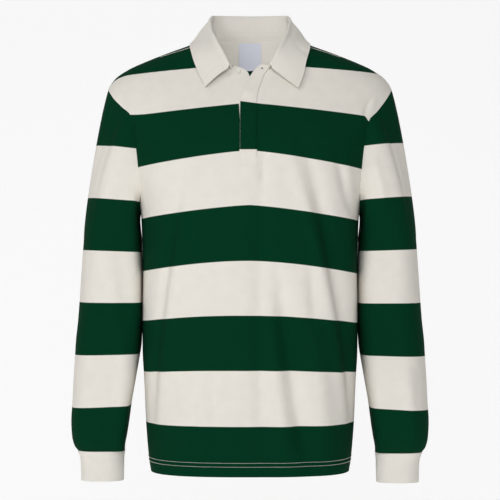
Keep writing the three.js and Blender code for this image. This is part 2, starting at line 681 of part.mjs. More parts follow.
// Foot of the collar, just off the cut edge of the neckline
function collarFoot(side) {
  const over = collarShoulderShare;
  const turn = collarShoulderTurn;
  const up = new THREE.Vector3(0, 0, 1);
  const edgeOf = (face, at) => {
    const x = readTable(neckline[face], 'at', at, 'x');
    const z = readTable(neckline[face], 'at', at, 'z');
    return bodyPoint(face, x, z, 0);
  };
  let edge = null;
  if (side < over - turn) edge = edgeOf('back', side / (over - turn));
  else if (side > over + turn) {
    const at = 1 - ((side - over - turn) / (1 - over - turn)) * (1 - collarEndShare);
    edge = edgeOf('front', at);
  } else {
    const t = (side - over) / turn;
    const z = ridgeLevel(neckReach) - (t * shoulderSeamForward) ** 2;
    edge = bodyPoint(t > 0 ? 'front' : 'back', neckReach, z, 0);
    if (Math.abs(t) < 0.02) edge.place.y = 0;
  }
  const off = up.clone().addScaledVector(edge.normal, -up.dot(edge.normal)).normalize();
  const foot = edge.place.clone().addScaledVector(edge.normal, -collarFootSink);
  const rise = collarFootRise + (collarEndRise - collarFootRise) * smooth(0.78, 0.95, side);
  return foot.addScaledVector(off, rise);
}

// Collar: one folded wall from the neck seam over the roll line to the leaf edge
const collarShares = [0, 0.1, 0.2, 0.29, 0.38, 0.45, 0.52, 0.59, 0.66, 0.72, 0.78, 0.84, 0.9, 0.95, 1];
function collarRow(across) {
  const side = Math.abs(across);
  const sign = across < 0 ? -1 : 1;
  const read = (key) => readTable(collarRows, 'at', side, key);
  const seam = collarFoot(side);
  seam.x *= sign;
  const roll = new THREE.Vector3(sign * read('rx'), read('ry'), read('rz'));
  const point = across > 0 ? smooth(0.8, 1, side) : 0;
  const reachOut = read('ex') + point * rightLeafPoint.out;
  const edge = new THREE.Vector3(sign * reachOut, read('ey'), read('ez') - point * rightLeafPoint.down);
  const out = edge.clone().sub(seam);
  if (side < 0.3) out.set(seam.x * 0.8, seam.y, 0);
  out.z = 0;
  out.normalize();
  const drop = Math.min(5, roll.z - seam.z - 4);
  const bend = [
    roll.clone().addScaledVector(out, -2.9).add(new THREE.Vector3(0, 0, -drop)),
    roll.clone().addScaledVector(out, -2.1).add(new THREE.Vector3(0, 0, -drop * 0.3)),
    roll.clone(),
    roll.clone().addScaledVector(out, 2.4).add(new THREE.Vector3(0, 0, -drop * 0.3)),
    roll.clone().addScaledVector(out, 3.8).add(new THREE.Vector3(0, 0, -5)),
  ];
  const points = [seam];
  for (const t of [0.35, 0.7]) points.push(seam.clone().lerp(bend[0], t));
  points.push(...bend);
  for (const t of [0.25, 0.5, 0.75, 1]) {
    const leaf = bend[4].clone().lerp(edge, t);
    leaf.addScaledVector(out, 3 * Math.sin(Math.PI * t) * (1 - 0.5 * t));
    points.push(clearOfBody(leaf, collarWall + collarStandOff));
  }
  return points;
}
const collarAcross = [...collarShares.slice(1).map((s) => -s).reverse(), ...collarShares];
const collarPlaces = collarAcross.map(collarRow);
const collar = wall('collar', withNormals(collarPlaces, false, 1), collarWall, whiteYarn, {});

// Placket strips laid on the front, one over the other, each lift read at its height
function placket(name, table, liftAt) {
  const rows = [...table].sort((a, b) => a.z - b.z);
  const low = rows[0].z;
  const high = rows[rows.length - 1].z;
  const steps = [0, 0.07, 0.135, 0.15, 0.26, 0.38, 0.5, 0.6, 0.68, 0.75, 0.81, 0.86, 0.91, 0.96, 1];
  const places = steps.map((t) => {
    const z = low + (high - low) * t;
    return [0, 0.1, 0.5, 0.9, 1].map((u) => {
      const free = readTable(rows, 'z', z, 'free');
      const sewn = readTable(rows, 'z', z, 'sewn');
      const left = Math.min(free, sewn);
      const right = Math.max(free, sewn);
      const x = left + (right - left) * u;
      return bodyPoint('front', x, z, liftAt(z));
    });
  });
  return wall(name, places, stripWall, whiteYarn, {});
}
const layer = layerGap + stripWall;
const under = placket('placket_under', underPlacket, () => layer);
const underEnd = underPlacket[0].z - 1;
const overLift = (z) => layer + layer * smooth(underEnd - stripStep, underEnd, z);
const over = placket('placket_over', overPlacket, overLift);

// Half round facing and the bare label inside the back neck
function facing() {
  const steps = [-1, -0.9, -0.75, -0.55, -0.3, 0, 0.3, 0.55, 0.75, 0.9, 1];
  const rows = [0, 0.25, 0.5, 0.75, 1].map((t) => steps.map((u) => {
    const x = u * facingReach;
    const neck = readTable(neckline.back, 'x', Math.abs(x), 'z') + facingRise;
    const low = neck - 6 - (facingDrop - 4) * Math.sqrt(Math.max(1 - u * u, 0));
    return bodyPoint('back', x, neck + (low - neck) * t, -clothWall - facingGap);
  }));
  return wall('half_moon', rows, facingWall, whiteYarn, {});
}
function label() {
  const rows = [0, 0.2, 0.4, 0.6, 0.8, 1].map((t) => [-1, -0.5, 0, 0.5, 1].map((u) => {
    const z = neckline.back[0].z - 2 - t * labelLength;
    return bodyPoint('back', (u * labelWidth) / 2, z, -clothWall - facingWall - facingGap - layerGap);
  }));
  return wall('neck_label', rows, facingWall, labelWhite, { roughness: 0.7 });
}

// Rubber button on the under strip
function button() {
  const radius = buttonDiameter / 2;
  const outline = [
    [0, 0],
    [radius - 0.5, 0],
    [radius, 0.7],
    [radius, buttonThickness - 0.6],
    [radius - 0.6, buttonThickness],
    [radius - 1.6, buttonThickness - 0.35],
    [0, buttonThickness - 0.5],
  ];
  const { place, normal } = bodyPoint('front', buttonAcross, buttonLevel, layer + layerGap);
  const turn = new THREE.Quaternion().setFromUnitVectors(new THREE.Vector3(0, 1, 0), normal);
  const around = 20;
  const positions = [];
  const indices = [];
  const put = (r, h, angle) => {
    const p = new THREE.Vector3(r * Math.cos(angle), h, r * Math.sin(angle));
    p.applyQuaternion(turn).add(place);
    positions.push(p.x, p.y, p.z);
  };
  put(0, outline[0][1], 0);
  for (const [r, h] of outline.slice(1, -1)) {
    for (let k = 0; k < around; k += 1) put(r, h, (k * 2 * Math.PI) / around);
  }
  put(0, outline[outline.length - 1][1], 0);
  const ring = (i, k) => 1 + i * around + (k % around);
  const rings = outline.length - 2;
  for (let k = 0; k < around; k += 1) {
    indices.push(0, ring(0, k), ring(0, k + 1));
    for (let i = 0; i < rings - 1; i += 1) {
      indices.push(ring(i, k), ring(i + 1, k), ring(i + 1, k + 1));
      indices.push(ring(i, k), ring(i + 1, k + 1), ring(i, k + 1));
    }
    indices.push(1 + rings * around, ring(rings - 1, k + 1), ring(rings - 1, k));
  }
  return solid('button_top', positions, indices, rubberWhite, 0.55);
}

const group = new THREE.Group();
group.name = 'rugby_shirt';
group.add(front, back, ...sleeveAndCuff('left'), ...sleeveAndCuff('right'));
group.add(collar, under, over, facing(), label(), button());
export default group;
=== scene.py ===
import math

import bmesh
import bpy
import numpy as np
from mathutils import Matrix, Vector


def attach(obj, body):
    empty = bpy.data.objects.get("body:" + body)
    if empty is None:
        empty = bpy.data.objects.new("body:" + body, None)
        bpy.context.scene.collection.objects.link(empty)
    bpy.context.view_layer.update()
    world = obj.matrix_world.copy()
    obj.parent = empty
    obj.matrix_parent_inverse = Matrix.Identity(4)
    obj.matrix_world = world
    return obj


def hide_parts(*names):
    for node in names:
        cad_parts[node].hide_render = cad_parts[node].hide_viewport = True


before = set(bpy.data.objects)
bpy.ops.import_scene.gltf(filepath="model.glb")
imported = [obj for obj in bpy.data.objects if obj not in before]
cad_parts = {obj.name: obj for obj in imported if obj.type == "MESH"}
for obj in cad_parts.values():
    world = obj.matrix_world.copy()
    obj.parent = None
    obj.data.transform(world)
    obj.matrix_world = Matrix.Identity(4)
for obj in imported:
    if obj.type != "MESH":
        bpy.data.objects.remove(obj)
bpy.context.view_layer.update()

MM = 0.001
scene = bpy.context.scene


# Front and back: heavy cotton jersey knitted in broad stripes from dyed yarn,
# cut as two panels, sewn at the shoulders and the sides, with a slit for the
# placket and a hem turned up and sewn with a twin needle.
def rows_of(columns, rows):
    """A table whose rows give the named columns in order, where the last may be left off."""
    return [dict(zip(columns.split(), row)) for row in rows]


# Heights of the body with its half width and its depth to the front and back
body_table = rows_of("z half front back power", [
    (-760, 170, 146, 140, 2.75),
    (-732, 172.5, 147, 141, 2.75),
    (-717, 175, 147, 142, 2.75),
    (-682, 178.5, 148, 142, 2.75),
    (-647, 181, 148, 142, 2.75),
    (-577, 184, 148, 141, 2.75),
    (-525, 187, 149, 140, 2.75),
    (-472, 187.5, 149, 139, 2.75),
    (-402, 186.5, 150, 138, 2.75),
    (-330, 188, 150, 138, 2.75),
    (-286, 190, 149, 138, 2.75),
    (-230, 202, 144, 136, 2.65),
    (-170, 219, 134, 130, 2.5),
    (-140, 232, 125, 123, 2.42),
    (-115, 245, 114, 113, 2.36),
    (-100, 249.5, 106, 106, 2.32),
    (-85, 251, 98, 98, 2.31),
    (-70, 247.5, 90, 90, 2.3),
    (-52, 236, 80, 81, 2.3),
    (-35, 211.7, 72, 75, 2.3),
    (-24.5, 189, 69, 70, 2.3),
    (-17.5, 172, 67, 67, 2.3),
    (-10.5, 154, 65, 64, 2.3),
    (-3.5, 135, 63, 62, 2.3),
    (7, 106, 59, 59, 2.3),
    (16, 86, 57, 57, 2.3),
    (22, 80, 55, 56, 2.3),
    (40, 66, 50, 53, 2.3),
])
# Armhole edges from the shoulder tip to the underarm
front_armhole = rows_of("at x z", [
    (0, 247, -71.5),
    (0.12, 236, -88),
    (0.24, 220, -104.5),
    (0.34, 205, -119),
    (0.5, 198, -156),
    (0.68, 192.5, -204),
    (0.86, 189, -254),
    (1, 190, -286),
])
back_armhole = rows_of("at x z", [
    (0, 247, -71.5),
    (0.12, 238, -86),
    (0.24, 225, -102),
    (0.36, 213, -122),
    (0.52, 203, -160),
    (0.7, 194.5, -208),
    (0.86, 189.5, -254),
    (1, 190, -286),
])
# Necklines from the centre to the shoulder
front_neckline = rows_of("at x z", [
    (0, 0, -60),
    (0.2, 17, -55),
    (0.4, 34, -39),
    (0.6, 52, -25.5),
    (0.76, 66, -13.5),
    (0.9, 79, 1),
    (1, 85, 14.2),
])
back_neckline = rows_of("at x z", [
    (0, 0, 20),
    (0.4, 34, 20),
    (0.6, 51, 19.4),
    (0.8, 69, 17.6),
    (1, 85, 14.2),
])
# Folds: a line down the cloth, its height outwards and its half width
body_folds = rows_of("face x1 z1 x2 z2 bow high wide", [
    ("front", 102, -205, 182, -650, 9, -10, 14),
    ("front", 80, -225, 160, -600, 8, 5, 13),
    ("front", 151, -200, 171, -290, 0, -5, 9),
    ("front", 20, -215, 20, -680, -3, -5, 14),
    ("front", 48, -400, 92, -700, -3, -8.5, 13.5),
    ("front", 28, -470, 62, -700, 2, 3, 14),
    ("front", 165, -215, 177, -500, 0, 4, 12),
    ("front", 62, -420, 104, -700, -2, -4, 14),
    ("front", 108, -470, 134, -700, 0, 4, 16),
    ("front", 103, -385, 108, -480, 0, -3, 9),
    ("front", -115, -240, -167, -640, -7, -5, 8),
    ("front", -97, -240, -150, -600, -7, 3, 14),
    ("front", -96, -560, -100, -720, 0, -2.5, 9),
    ("front", -62, -560, -64, -720, 0, -2, 9),
    ("front", 24, -185, 22, -235, 0, -3, 7),
    ("front", 212, -84, 197, -120, -3, -5, 5),
    ("front", 219, -84, 207, -112, -2, 2, 6),
    ("back", 110, -190, 150, -560, 6, -8, 17),
    ("back", -108, -200, -156, -580, -6, -8, 16),
    ("back", 58, -330, 74, -700, 0, -6, 18),
    ("back", -50, -350, -66, -700, 0, -5, 19),
    ("back", 2, -250, 8, -640, 0, -3, 18),
    ("back", 84, -120, 40, -250, 0, -3, 16),
    ("back", -88, -115, -46, -240, 0, -3, 17),
])
# Edges of the stripes at the centre, how far they sag at the sides, how they tilt,
# and how they bend at the shoulder tip on -x and the armhole on +x
front_stripes = rows_of("at z sag curve tilt tip_from tip notch", [
    (-1, 60, 8, 1.1, 0),
    (0, -31, 12.5, 1.0, 0.011, 200, -12.5),
    (1, -100.4, 18.8, 1.05, 0, 150, 1.7, 8),
    (2, -182.8, 25.5, 1.25, -0.008),
    (3, -274.8, 22.1, 1.3, -0.009),
    (4, -368.2, 19.5, 1.75, -0.011),
    (5, -459.8, 12.7, 2.25, -0.009),
    (6, -552.2, 7.2, 3.0, -0.003),
    (7, -645.7, 0, 4.0, 0),
    (8, -738, 0, 4.0, 0),
])
back_stripes = rows_of("at z sag curve tilt tip_from tip", [
    (-1, 60, 8, 1.1, 0),
    (0, -44, -3.4, 1.0, 0, 190, -16),
    (1, -112.3, 8, 1.05, 0),
    (2, -196, 13, 1.25, 0),
    (3, -284.2, 13, 1.3, 0),
    (4, -376.7, 11, 1.75, 0),
    (5, -465.5, 8, 2.25, 0),
    (6, -555.4, 4, 3.0, 0),
    (7, -645.4, 1, 4.0, 0),
    (8, -738, 0, 4.0, 0),
])
sag_reach = 180
tip_span = 43
notch_start = 196
notch_end = 203
hem_level = -730
hem_side_drop = 2
right_armhole_sag = 8
underarm_level = -286
neck_root_level = 22
neck_root_half = 80
tip_level = -85
fold_top_level = -60
fold_full_level = -150
hem_fold_rise = 41
side_limit = 0.9995
tip_reach = 247
neck_reach = 85
neck_share = 0.4
seam_forward = 1.5
lower_share = 0.64
slit_share = 0.03
slit_end = -192
jersey_wall = 1.7
hem_extra = 0.9
hem_depth = 25
hem_step = 1.5
wale_pitch = 0.00125
stripe_courses = 95
stripe_tooth = 0.0022
stripe_sharpness = 42.0
green_yarn = (0.0003, 0.0345, 0.0135)
white_yarn = (0.80, 0.765, 0.70)


def follow(table, by, key, value):
    """A smooth curve through a table's column that never swings past its rows."""
    rows = sorted(table, key=lambda row: row[by])
    places = np.array([row[by] for row in rows], float)
    heights = np.array([row[key] for row in rows], float)
    steps = np.diff(heights) / np.diff(places)
    slopes = np.zeros(len(rows))
    slopes[0] = steps[0]
    slopes[-1] = steps[-1]
    same = steps[:-1] * steps[1:] > 0
    total = np.where(same, steps[:-1] + steps[1:], 1)
    slopes[1:-1] = np.where(same, 2 * steps[:-1] * steps[1:] / total, 0)
    v = np.clip(np.asarray(value, float), places[0], places[-1])
    i = np.clip(np.searchsorted(places, v, side="right") - 1, 0, len(rows) - 2)
    span = places[i + 1] - places[i]
    t = (v - places[i]) / span
    start = (2 * t**3 - 3 * t**2 + 1) * heights[i] + (t**3 - 2 * t**2 + t) * slopes[i] * span
    return start + (3 * t**2 - 2 * t**3) * heights[i + 1] + (t**3 - t**2) * slopes[i + 1] * span


def ease(start, end, value):
    t = np.clip((np.asarray(value, float) - start) / (end - start), 0, 1)
    return t * t * (3 - 2 * t)


def unit(vectors):
    return vectors / np.maximum(np.linalg.norm(vectors, axis=-1, keepdims=True), 1e-12)


def body_at(column, z):
    return follow(body_table, "z", column, z)


ridge_levels = np.linspace(neck_root_level, tip_level, 1200)
ridge_halves = body_at("half", ridge_levels)


def ridge_level(x):
    reach = np.abs(x)
    over_neck = neck_root_level + (neck_root_half**2 - reach**2) / (2 * neck_root_half)
    return np.where(reach <= neck_root_half, over_neck, np.interp(reach, ridge_halves, ridge_levels))


def fold_push(face, x, z):
    push = np.zeros(np.broadcast(x, z).shape)
    for fold in body_folds:
        if fold["face"] == face:
            along = (z - fold["z1"]) / (fold["z2"] - fold["z1"])
            line = fold["x1"] + (fold["x2"] - fold["x1"]) * np.clip(along, -0.3, 1.3)
            line = line + 4 * fold["bow"] * along * (1 - along)
            away = (x - line) / fold["wide"]
            ends = ease(-0.25, 0.3, along) * (1 - ease(0.75, 1.25, along))
            push += fold["high"] * np.exp(-away * away) * ends
    half = body_at("half", z)
    clear_of_side = 1 - ease(0.93, 0.995, np.abs(x) / half)
    clear_of_hem = 0.55 + 0.45 * ease(hem_level, hem_level + hem_fold_rise, z)
    return push * clear_of_side * clear_of_hem


def body_point(face, x, z, lift=0.0):
    """Points on the outside of the body and the directions out of the cloth."""
    x, z = np.broadcast_arrays(np.asarray(x, float), np.asarray(z, float))
    half = body_at("half", z)
    power = body_at("power", z)
    depth = body_at(face, z)
    sign = -1 if face == "front" else 1
    reach = np.minimum(np.abs(x) / half, 1)
    y = sign * np.maximum(depth * (1 - reach**power) ** (1 / power), 0.25)

    def measure(level):
        a = body_at("half", level)
        b = body_at(face, level)
        return (np.abs(x) / a) ** power + (np.abs(y) / b) ** power

    nx = np.sign(x) * reach ** (power - 1) / half
    ny = sign * (np.abs(y) / depth) ** (power - 1) / depth
    nz = (measure(z + 0.5) - measure(z - 0.5)) / power
    normal = unit(np.stack([nx, ny, nz], -1))
    side = (reach > side_limit) & (z < underarm_level + 1)
    normal[side] = np.stack([np.sign(x), 0 * x, 0 * x], -1)[side]
    push = fold_push(face, x, z) * ease(fold_top_level, fold_full_level, z) + lift
    return np.stack([x, y, z], -1) + normal * push[..., None], normal


def top_edge(neckline, side):
    at = np.clip(side / neck_share, 0, 1)
    run = neck_reach + (side - neck_share) / (1 - neck_share) * (tip_reach - neck_reach)
    in_neck = side < neck_share
    x = np.where(in_neck, follow(neckline, "at", "x", at), run)
    z = np.where(in_neck, follow(neckline, "at", "z", at), ridge_level(run) - seam_forward**2)
    return x, z


def panel_place(neckline, armhole, across, share):
    """Places across and up a panel, seen from the front, as shares of it."""
    side = np.abs(across)
    spread = np.sin(side * np.pi / 2)
    centre_top = neckline[0]["z"]
    under_share = (underarm_level + 4 - hem_level) / (centre_top - hem_level)
    above = (share - lower_share) / (1 - lower_share)
    lower = share <= lower_share
    centre_share = np.where(lower, share / lower_share * under_share, under_share + above * (1 - under_share))
    centre = hem_level + (centre_top - hem_level) * centre_share
    low = hem_level - hem_side_drop
    seam_z = low + (underarm_level - low) * share / lower_share
    tip_x, tip_z = top_edge(neckline, np.array(1.0))
    seam_x = body_at("half", seam_z)
    edge_x = np.where(lower, seam_x, follow(armhole, "at", "x", 1 - above))
    edge_z = np.where(lower, seam_z, follow(armhole, "at", "z", 1 - above))
    corner = np.exp(-(((1 - above - 0.32) / 0.15) ** 2)) * (across > 0) * ~lower
    edge_z = edge_z - corner * (right_armhole_sag if armhole is front_armhole else 0)
    edge_x = np.where(share >= 1, tip_x, edge_x)
    edge_z = np.where(share >= 1, tip_z, edge_z)
    top_x, top_z = top_edge(neckline, side)
    pull = share**5
    blend = side * side
    x = edge_x * spread + pull * (top_x - tip_x * spread)
    z = centre * (1 - blend) + edge_z * blend
    z = z + pull * (top_z - centre_top * (1 - blend) - tip_z * blend)
    return np.sign(across) * x, z


def stripe_count(x, z, edges):
    """How many stripe edges lie above a point of the cloth, with its share of the next stripe."""
    reach = np.abs(x)
    levels = [e["z"] - e["sag"] * (reach / sag_reach) ** e["curve"] + e["tilt"] * x for e in edges]
    for index, edge in enumerate(edges):
        past = np.maximum(-x - edge.get("tip_from", 0), 0) / tip_span
        levels[index] = levels[index] + edge.get("tip", 0) * past**3
        levels[index] = levels[index] - edge.get("notch", 0) * ease(notch_start, notch_end, x)
    count = np.full(np.shape(z), float(edges[0]["at"]))
    for above, below, edge in zip(levels[:-1], levels[1:], edges[:-1]):
        part = (above - z) / (above - below)
        count = np.where(z <= above, edge["at"] + part, count)
    return count


def run_along(points, axis):
    """Distance along the rows or columns of a grid of points, in millimetres."""
    steps = np.linalg.norm(np.diff(points, axis=axis), axis=-1)
    start = np.zeros_like(np.take(steps, [0], axis=axis))
    return np.concatenate([start, np.cumsum(steps, axis=axis)], axis=axis)


def lay_mesh(name, places, faces):
    """A smooth mesh in the scene, from corners in metres."""
    mesh = bpy.data.meshes.new(name)
    mesh.from_pydata(places, [], faces)
    mesh.polygons.foreach_set("use_smooth", np.ones(len(faces), bool))
    piece = bpy.data.objects.new(name, mesh)
    scene.collection.objects.link(piece)
    return piece


def make_wall(name, points, normals, wall, cloth, closed=False, hole=None):
    """A sheet of cloth with two faces and cut edges, from a grid of points in millimetres."""
    high, wide = points.shape[:2]
    turns = wide if closed else wide - 1
    inside = points - normals * np.broadcast_to(wall, (high, wide))[..., None]
    places = np.concatenate([points.reshape(-1, 3), inside.reshape(-1, 3)]) * MM
    i, j = np.meshgrid(np.arange(high - 1), np.arange(turns), indexing="ij")
    filled = np.ones((high - 1, turns), bool) if hole is None else ~hole
    following = (np.arange(wide) + 1) % wide
    a = i * wide + j
    b = i * wide + following[j]
    c = (i + 1) * wide + following[j]
    d = (i + 1) * wide + j
    outer = np.stack([a, b, c, d], -1)[filled]
    inner = np.stack([a, d, c, b], -1)[filled] + high * wide
    edges = []
    padded_grid = np.zeros((high + 1, turns + 2), bool)
    padded_grid[1:-1, 1:-1] = filled
    if closed:
        padded_grid[1:-1, 0] = filled[:, -1]
        padded_grid[1:-1, -1] = filled[:, 0]
    sides = [
        (padded_grid[:-2, 1:-1], b, a),
        (padded_grid[2:, 1:-1], d, c),
        (padded_grid[1:-1, :-2], a, d),
        (padded_grid[1:-1, 2:], c, b),
    ]
    for beside, start, end in sides:
        rim = filled & ~beside
        s = start[rim]
        e = end[rim]
        edges.append(np.stack([s, e, e + high * wide, s + high * wide], -1))
    faces = np.concatenate([outer, inner, *edges])
    if not closed:
        cloth_places = np.concatenate([cloth.reshape(-1, 2)] * 2)[faces]
    else:
        wide_cloth = np.concatenate([cloth, cloth[:, :1] + cloth[:, -1:] * [1, 0]], 1)
        flat = faces % (high * wide)
        row = flat // wide
        column = flat % wide
        seam = (column.max(1) == wide - 1) & (column.min(1) == 0)
        column = np.where(seam[:, None] & (column == 0), wide, column)
        cloth_places = wide_cloth[row, column]
    piece = lay_mesh(name, places.tolist(), faces.tolist())
    mesh = piece.data
    layer = mesh.uv_layers.new(name="cloth")
    layer.data.foreach_set("uv", cloth_places.reshape(-1).astype(np.float32))
    mesh.validate()
    volume = 0.0
    tri = places[faces]
    for k in (1, 2):
        volume += np.einsum("ij,ij->i", tri[:, 0], np.cross(tri[:, k], tri[:, k + 1])).sum()
    if volume < 0:
        mesh.flip_normals()
    used = np.zeros(len(places), bool)
    used[faces] = True
    if not used.all():
        tidy = bmesh.new()
        tidy.from_mesh(mesh)
        bmesh.ops.delete(tidy, geom=[v for v in tidy.verts if not v.link_faces], context="VERTS")
        tidy.to_mesh(mesh)
        tidy.free()
    mesh.set_sharp_from_angle(angle=math.radians(50))
    return piece


class Wire:
    """A shader socket that adds Math nodes when it meets numbers or other sockets."""

    def __init__(self, tree, socket):
        self.tree = tree
        self.socket = socket

    def node(self, kind, settings=None, **values):
        new = self.tree.nodes.new(kind)
        for key, value in (settings or {}).items():
            setattr(new, key, value)
        for key, value in values.items():
            place = new.inputs[int(key[1:])] if key[0] == "_" else new.inputs[key.replace("_", " ")]
            if isinstance(value, Wire):
                self.tree.links.new(value.socket, place)
            else:
                place.default_value = value
        return new

    def math(self, kind, *values):
        named = {f"_{i}": value for i, value in enumerate(values)}
        return Wire(self.tree, self.node("ShaderNodeMath", {"operation": kind}, **named).outputs[0])

    def __add__(self, other):
        return self.math("ADD", self, other)

    def __mul__(self, other):
        return self.math("MULTIPLY", self, other)

    __radd__ = __add__
    __rmul__ = __mul__

    def sine(self):
        return self.math("SINE", self)

    def clamp(self):
        return Wire(self.tree, self.node("ShaderNodeClamp", Value=self).outputs[0])

    def mix(self, first, second):
        """A colour between two, by this socket's value."""
        new = self.node("ShaderNodeMix", {"data_type": "RGBA"}, _0=self, _6=first, _7=second)
        return Wire(self.tree, new.outputs[2])


def plain_material(name, colour, roughness):
    """A material of one colour, and its surface."""
    material = bpy.data.materials.new(name)
    material.use_nodes = True
    surface = material.node_tree.nodes["Principled BSDF"]
    surface.inputs["Base Color"].default_value = (*colour, 1)
    surface.inputs["Roughness"].default_value = roughness
    return material, surface


def cloth_material(name, colour, roughness, sheen):
    """A cloth material, its surface and the distances across and down the cloth."""
    material, surface = plain_material(name, colour, roughness)
    surface.inputs["Sheen Weight"].default_value = sheen
    surface.inputs["Sheen Roughness"].default_value = 0.6
    surface.inputs["Specular IOR Level"].default_value = 0.06
    tree = material.node_tree
    start = Wire(tree, surface.inputs["Roughness"])
    spot = start.node("ShaderNodeUVMap", {"uv_map": "cloth"})
    parts = start.node("ShaderNodeSeparateXYZ", _0=Wire(tree, spot.outputs[0]))
    return material, surface, Wire(tree, parts.outputs[0]), Wire(tree, parts.outputs[1])


def noise(wire, scale, detail):
    """Unevenness of yarn, the same in every direction."""
    place = wire.node("ShaderNodeTexCoord")
    spot = Wire(wire.tree, place.outputs["Object"])
    cloud = wire.node("ShaderNodeTexNoise", Vector=spot, Scale=scale, Detail=detail)
    return Wire(wire.tree, cloud.outputs[0])


def weave(surface, colour, shade, height, strength, depth):
    """The colour under an uneven shade, and threads that stand up from the cloth."""
    lit = shade.node("ShaderNodeVectorMath", {"operation": "SCALE"}, _0=colour, Scale=shade)
    bump = height.node("ShaderNodeBump", Height=height, Strength=strength, Distance=depth)
    shade.tree.links.new(lit.outputs[0], surface.inputs["Base Color"])
    height.tree.links.new(bump.outputs[0], surface.inputs["Normal"])


def jersey_material(name):
    """Jersey in two yarns: the second distance counts stripes, white from 0 to 1, green from 1 to 2."""
    material, surface, across, down = cloth_material(name, white_yarn, 0.95, 0.0)
    wales = (across * (2 * math.pi / wale_pitch)).sine()
    courses = (down * (2 * math.pi * stripe_courses)).sine()
    turned = (down + wales * stripe_tooth) * math.pi
    white_part = (turned.sine() * stripe_sharpness + 0.5).clamp()
    colour = white_part.mix((*green_yarn, 1), (*white_yarn, 1))
    shade = noise(across, 55.0, 4.0) * 0.10 + 0.95
    height = wales * 0.35 + courses * 0.25 + noise(across, 900.0, 2.0) * 0.8
    weave(surface, colour, shade, height, 0.25, 0.0004)
    return material


def dress(piece, material):
    piece.data.materials.append(material)
    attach(piece, "root")


panel_columns = 180
sew_row = 130
upper_rows = 75
across_front = np.linspace(-1, 1, panel_columns + 1)
lower_rows = np.linspace(0, lower_share, sew_row + 1)
share_rows = np.concatenate([lower_rows[:-1], np.linspace(lower_share, 1, upper_rows + 1)])


def panel(face, neckline, armhole):
    x, z = panel_place(neckline, armhole, across_front[None, :], share_rows[:, None])
    return body_point(face, x, z)


def jersey_cloth(points, edges):
    run = run_along(points, 1)
    run = (run - run[:, [run.shape[1] // 2]]) * MM
    return np.stack([run, stripe_count(points[..., 0], points[..., 2], edges)], -1)


def hem_thickness(points):
    above = points[..., 2] - hem_level + hem_step
    return jersey_wall + hem_extra * (1 - ease(hem_depth - hem_step, hem_depth, above))


front_points, front_normals = panel("front", front_neckline, front_armhole)
on_shoulder = np.abs(front_points[-1, :, 0]) > neck_reach - 1
front_points[-1, on_shoulder] += [0, -0.2, -0.2]
middle = (across_front[:-1] + across_front[1:]) / 2
above_slit = (front_points[:-1, panel_columns // 2, 2] > slit_end)[:, None]
slit = ((middle > -slit_share) & (middle < 0))[None, :] & above_slit
jersey = jersey_material("striped_jersey")
front_cloth = jersey_cloth(front_points, front_stripes)
front_wall = hem_thickness(front_points)
front = make_wall("front_panel", front_points, front_normals, front_wall, front_cloth, hole=slit)
dress(front, jersey)
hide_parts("front")

back_points, back_normals = panel("back", back_neckline, back_armhole)
side_share = np.maximum(np.abs(across_front), neck_share)
over_x = np.sign(across_front) * top_edge(back_neckline, side_share)[0]
over_points = [back_points]
over_normals = [back_normals]
for step in (0.75, 0.5, 0.25, 0, -0.25, -0.5, -0.75, -0.985):
    forward = step * seam_forward
    level = ridge_level(over_x) - forward**2
    row, row_normals = body_point("front" if step < 0 else "back", over_x, level)
    if step == 0:
        row[:, 1] = 0
    over_points.append(row[None])
    over_normals.append(row_normals[None])
back_points = np.concatenate(over_points)
back_normals = np.concatenate(over_normals)
over_neck = np.zeros((len(back_points) - 1, panel_columns), bool)
over_neck[len(share_rows) - 1 :] = (np.abs(middle) < neck_share - 0.004)[None, :]
back_cloth = jersey_cloth(back_points, back_stripes)
back_wall = hem_thickness(back_points)
back = make_wall("back_panel", back_points, back_normals, back_wall, back_cloth, hole=over_neck)
dress(back, jersey)
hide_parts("back")


# Sleeves: the same jersey cut in one piece each, set on at a dropped shoulder,
# sewn up underneath and gathered slightly into the cuff.
# Heights of the sleeve with its outer and inner reach, half depth and middle
sleeve_table = rows_of("z outer inner deep middle", [
    (-330, 289, 191.5, 84, 14),
    (-402, 294, 189.8, 81, 13),
    (-472, 299, 190, 78, 11),
    (-511, 303, 191.5, 75, 9),
    (-542, 304.5, 196, 72, 6),
    (-577, 306.5, 202, 69, 3),
    (-612, 308, 208, 65, 0),
    (-647, 310, 212.5, 60, -3),
    (-673, 308.5, 216.5, 52, -6),
    (-689, 304.5, 219.5, 44, -7),
    (-698, 298, 220, 35, -8),
])
# How the cloth sets off from the armhole, from the shoulder tip to the underarm
sleeve_head = rows_of("at out fore down start finish", [
    (0, -0.45, 0, -0.89, 120, 150),
    (0.12, -0.62, -0.06, -0.78, 110, 140),
    (0.25, -0.93, -0.16, -0.36, 84, 118),
    (0.4, -0.75, -0.12, -0.65, 56, 66),
    (0.46, -0.6, -0.04, -0.8, 40, 40),
    (0.5, -0.42, 0, -0.9, 30, 24),
])
sleeve_folds = rows_of("side turn1 turn2 z1 z2 high wide", [
    ("left", 0.26, 0.355, -370, -590, -4.5, 0.035),
    ("left", 0.342, 0.352, -530, -690, -5, 0.03),
    ("left", 0.2, 0.2, -470, -690, 2.5, 0.06),
    ("right", 0.262, 0.262, -165, -300, -5, 0.035),
    ("right", 0.2, 0.19, -560, -685, -4, 0.035),
    ("left", 0.68, 0.74, -250, -650, -5, 0.06),
    ("right", 0.66, 0.72, -230, -640, -5, 0.06),
    ("left", 0.8, 0.84, -420, -620, -3, 0.05),
    ("right", 0.82, 0.8, -380, -600, -3, 0.05),
])
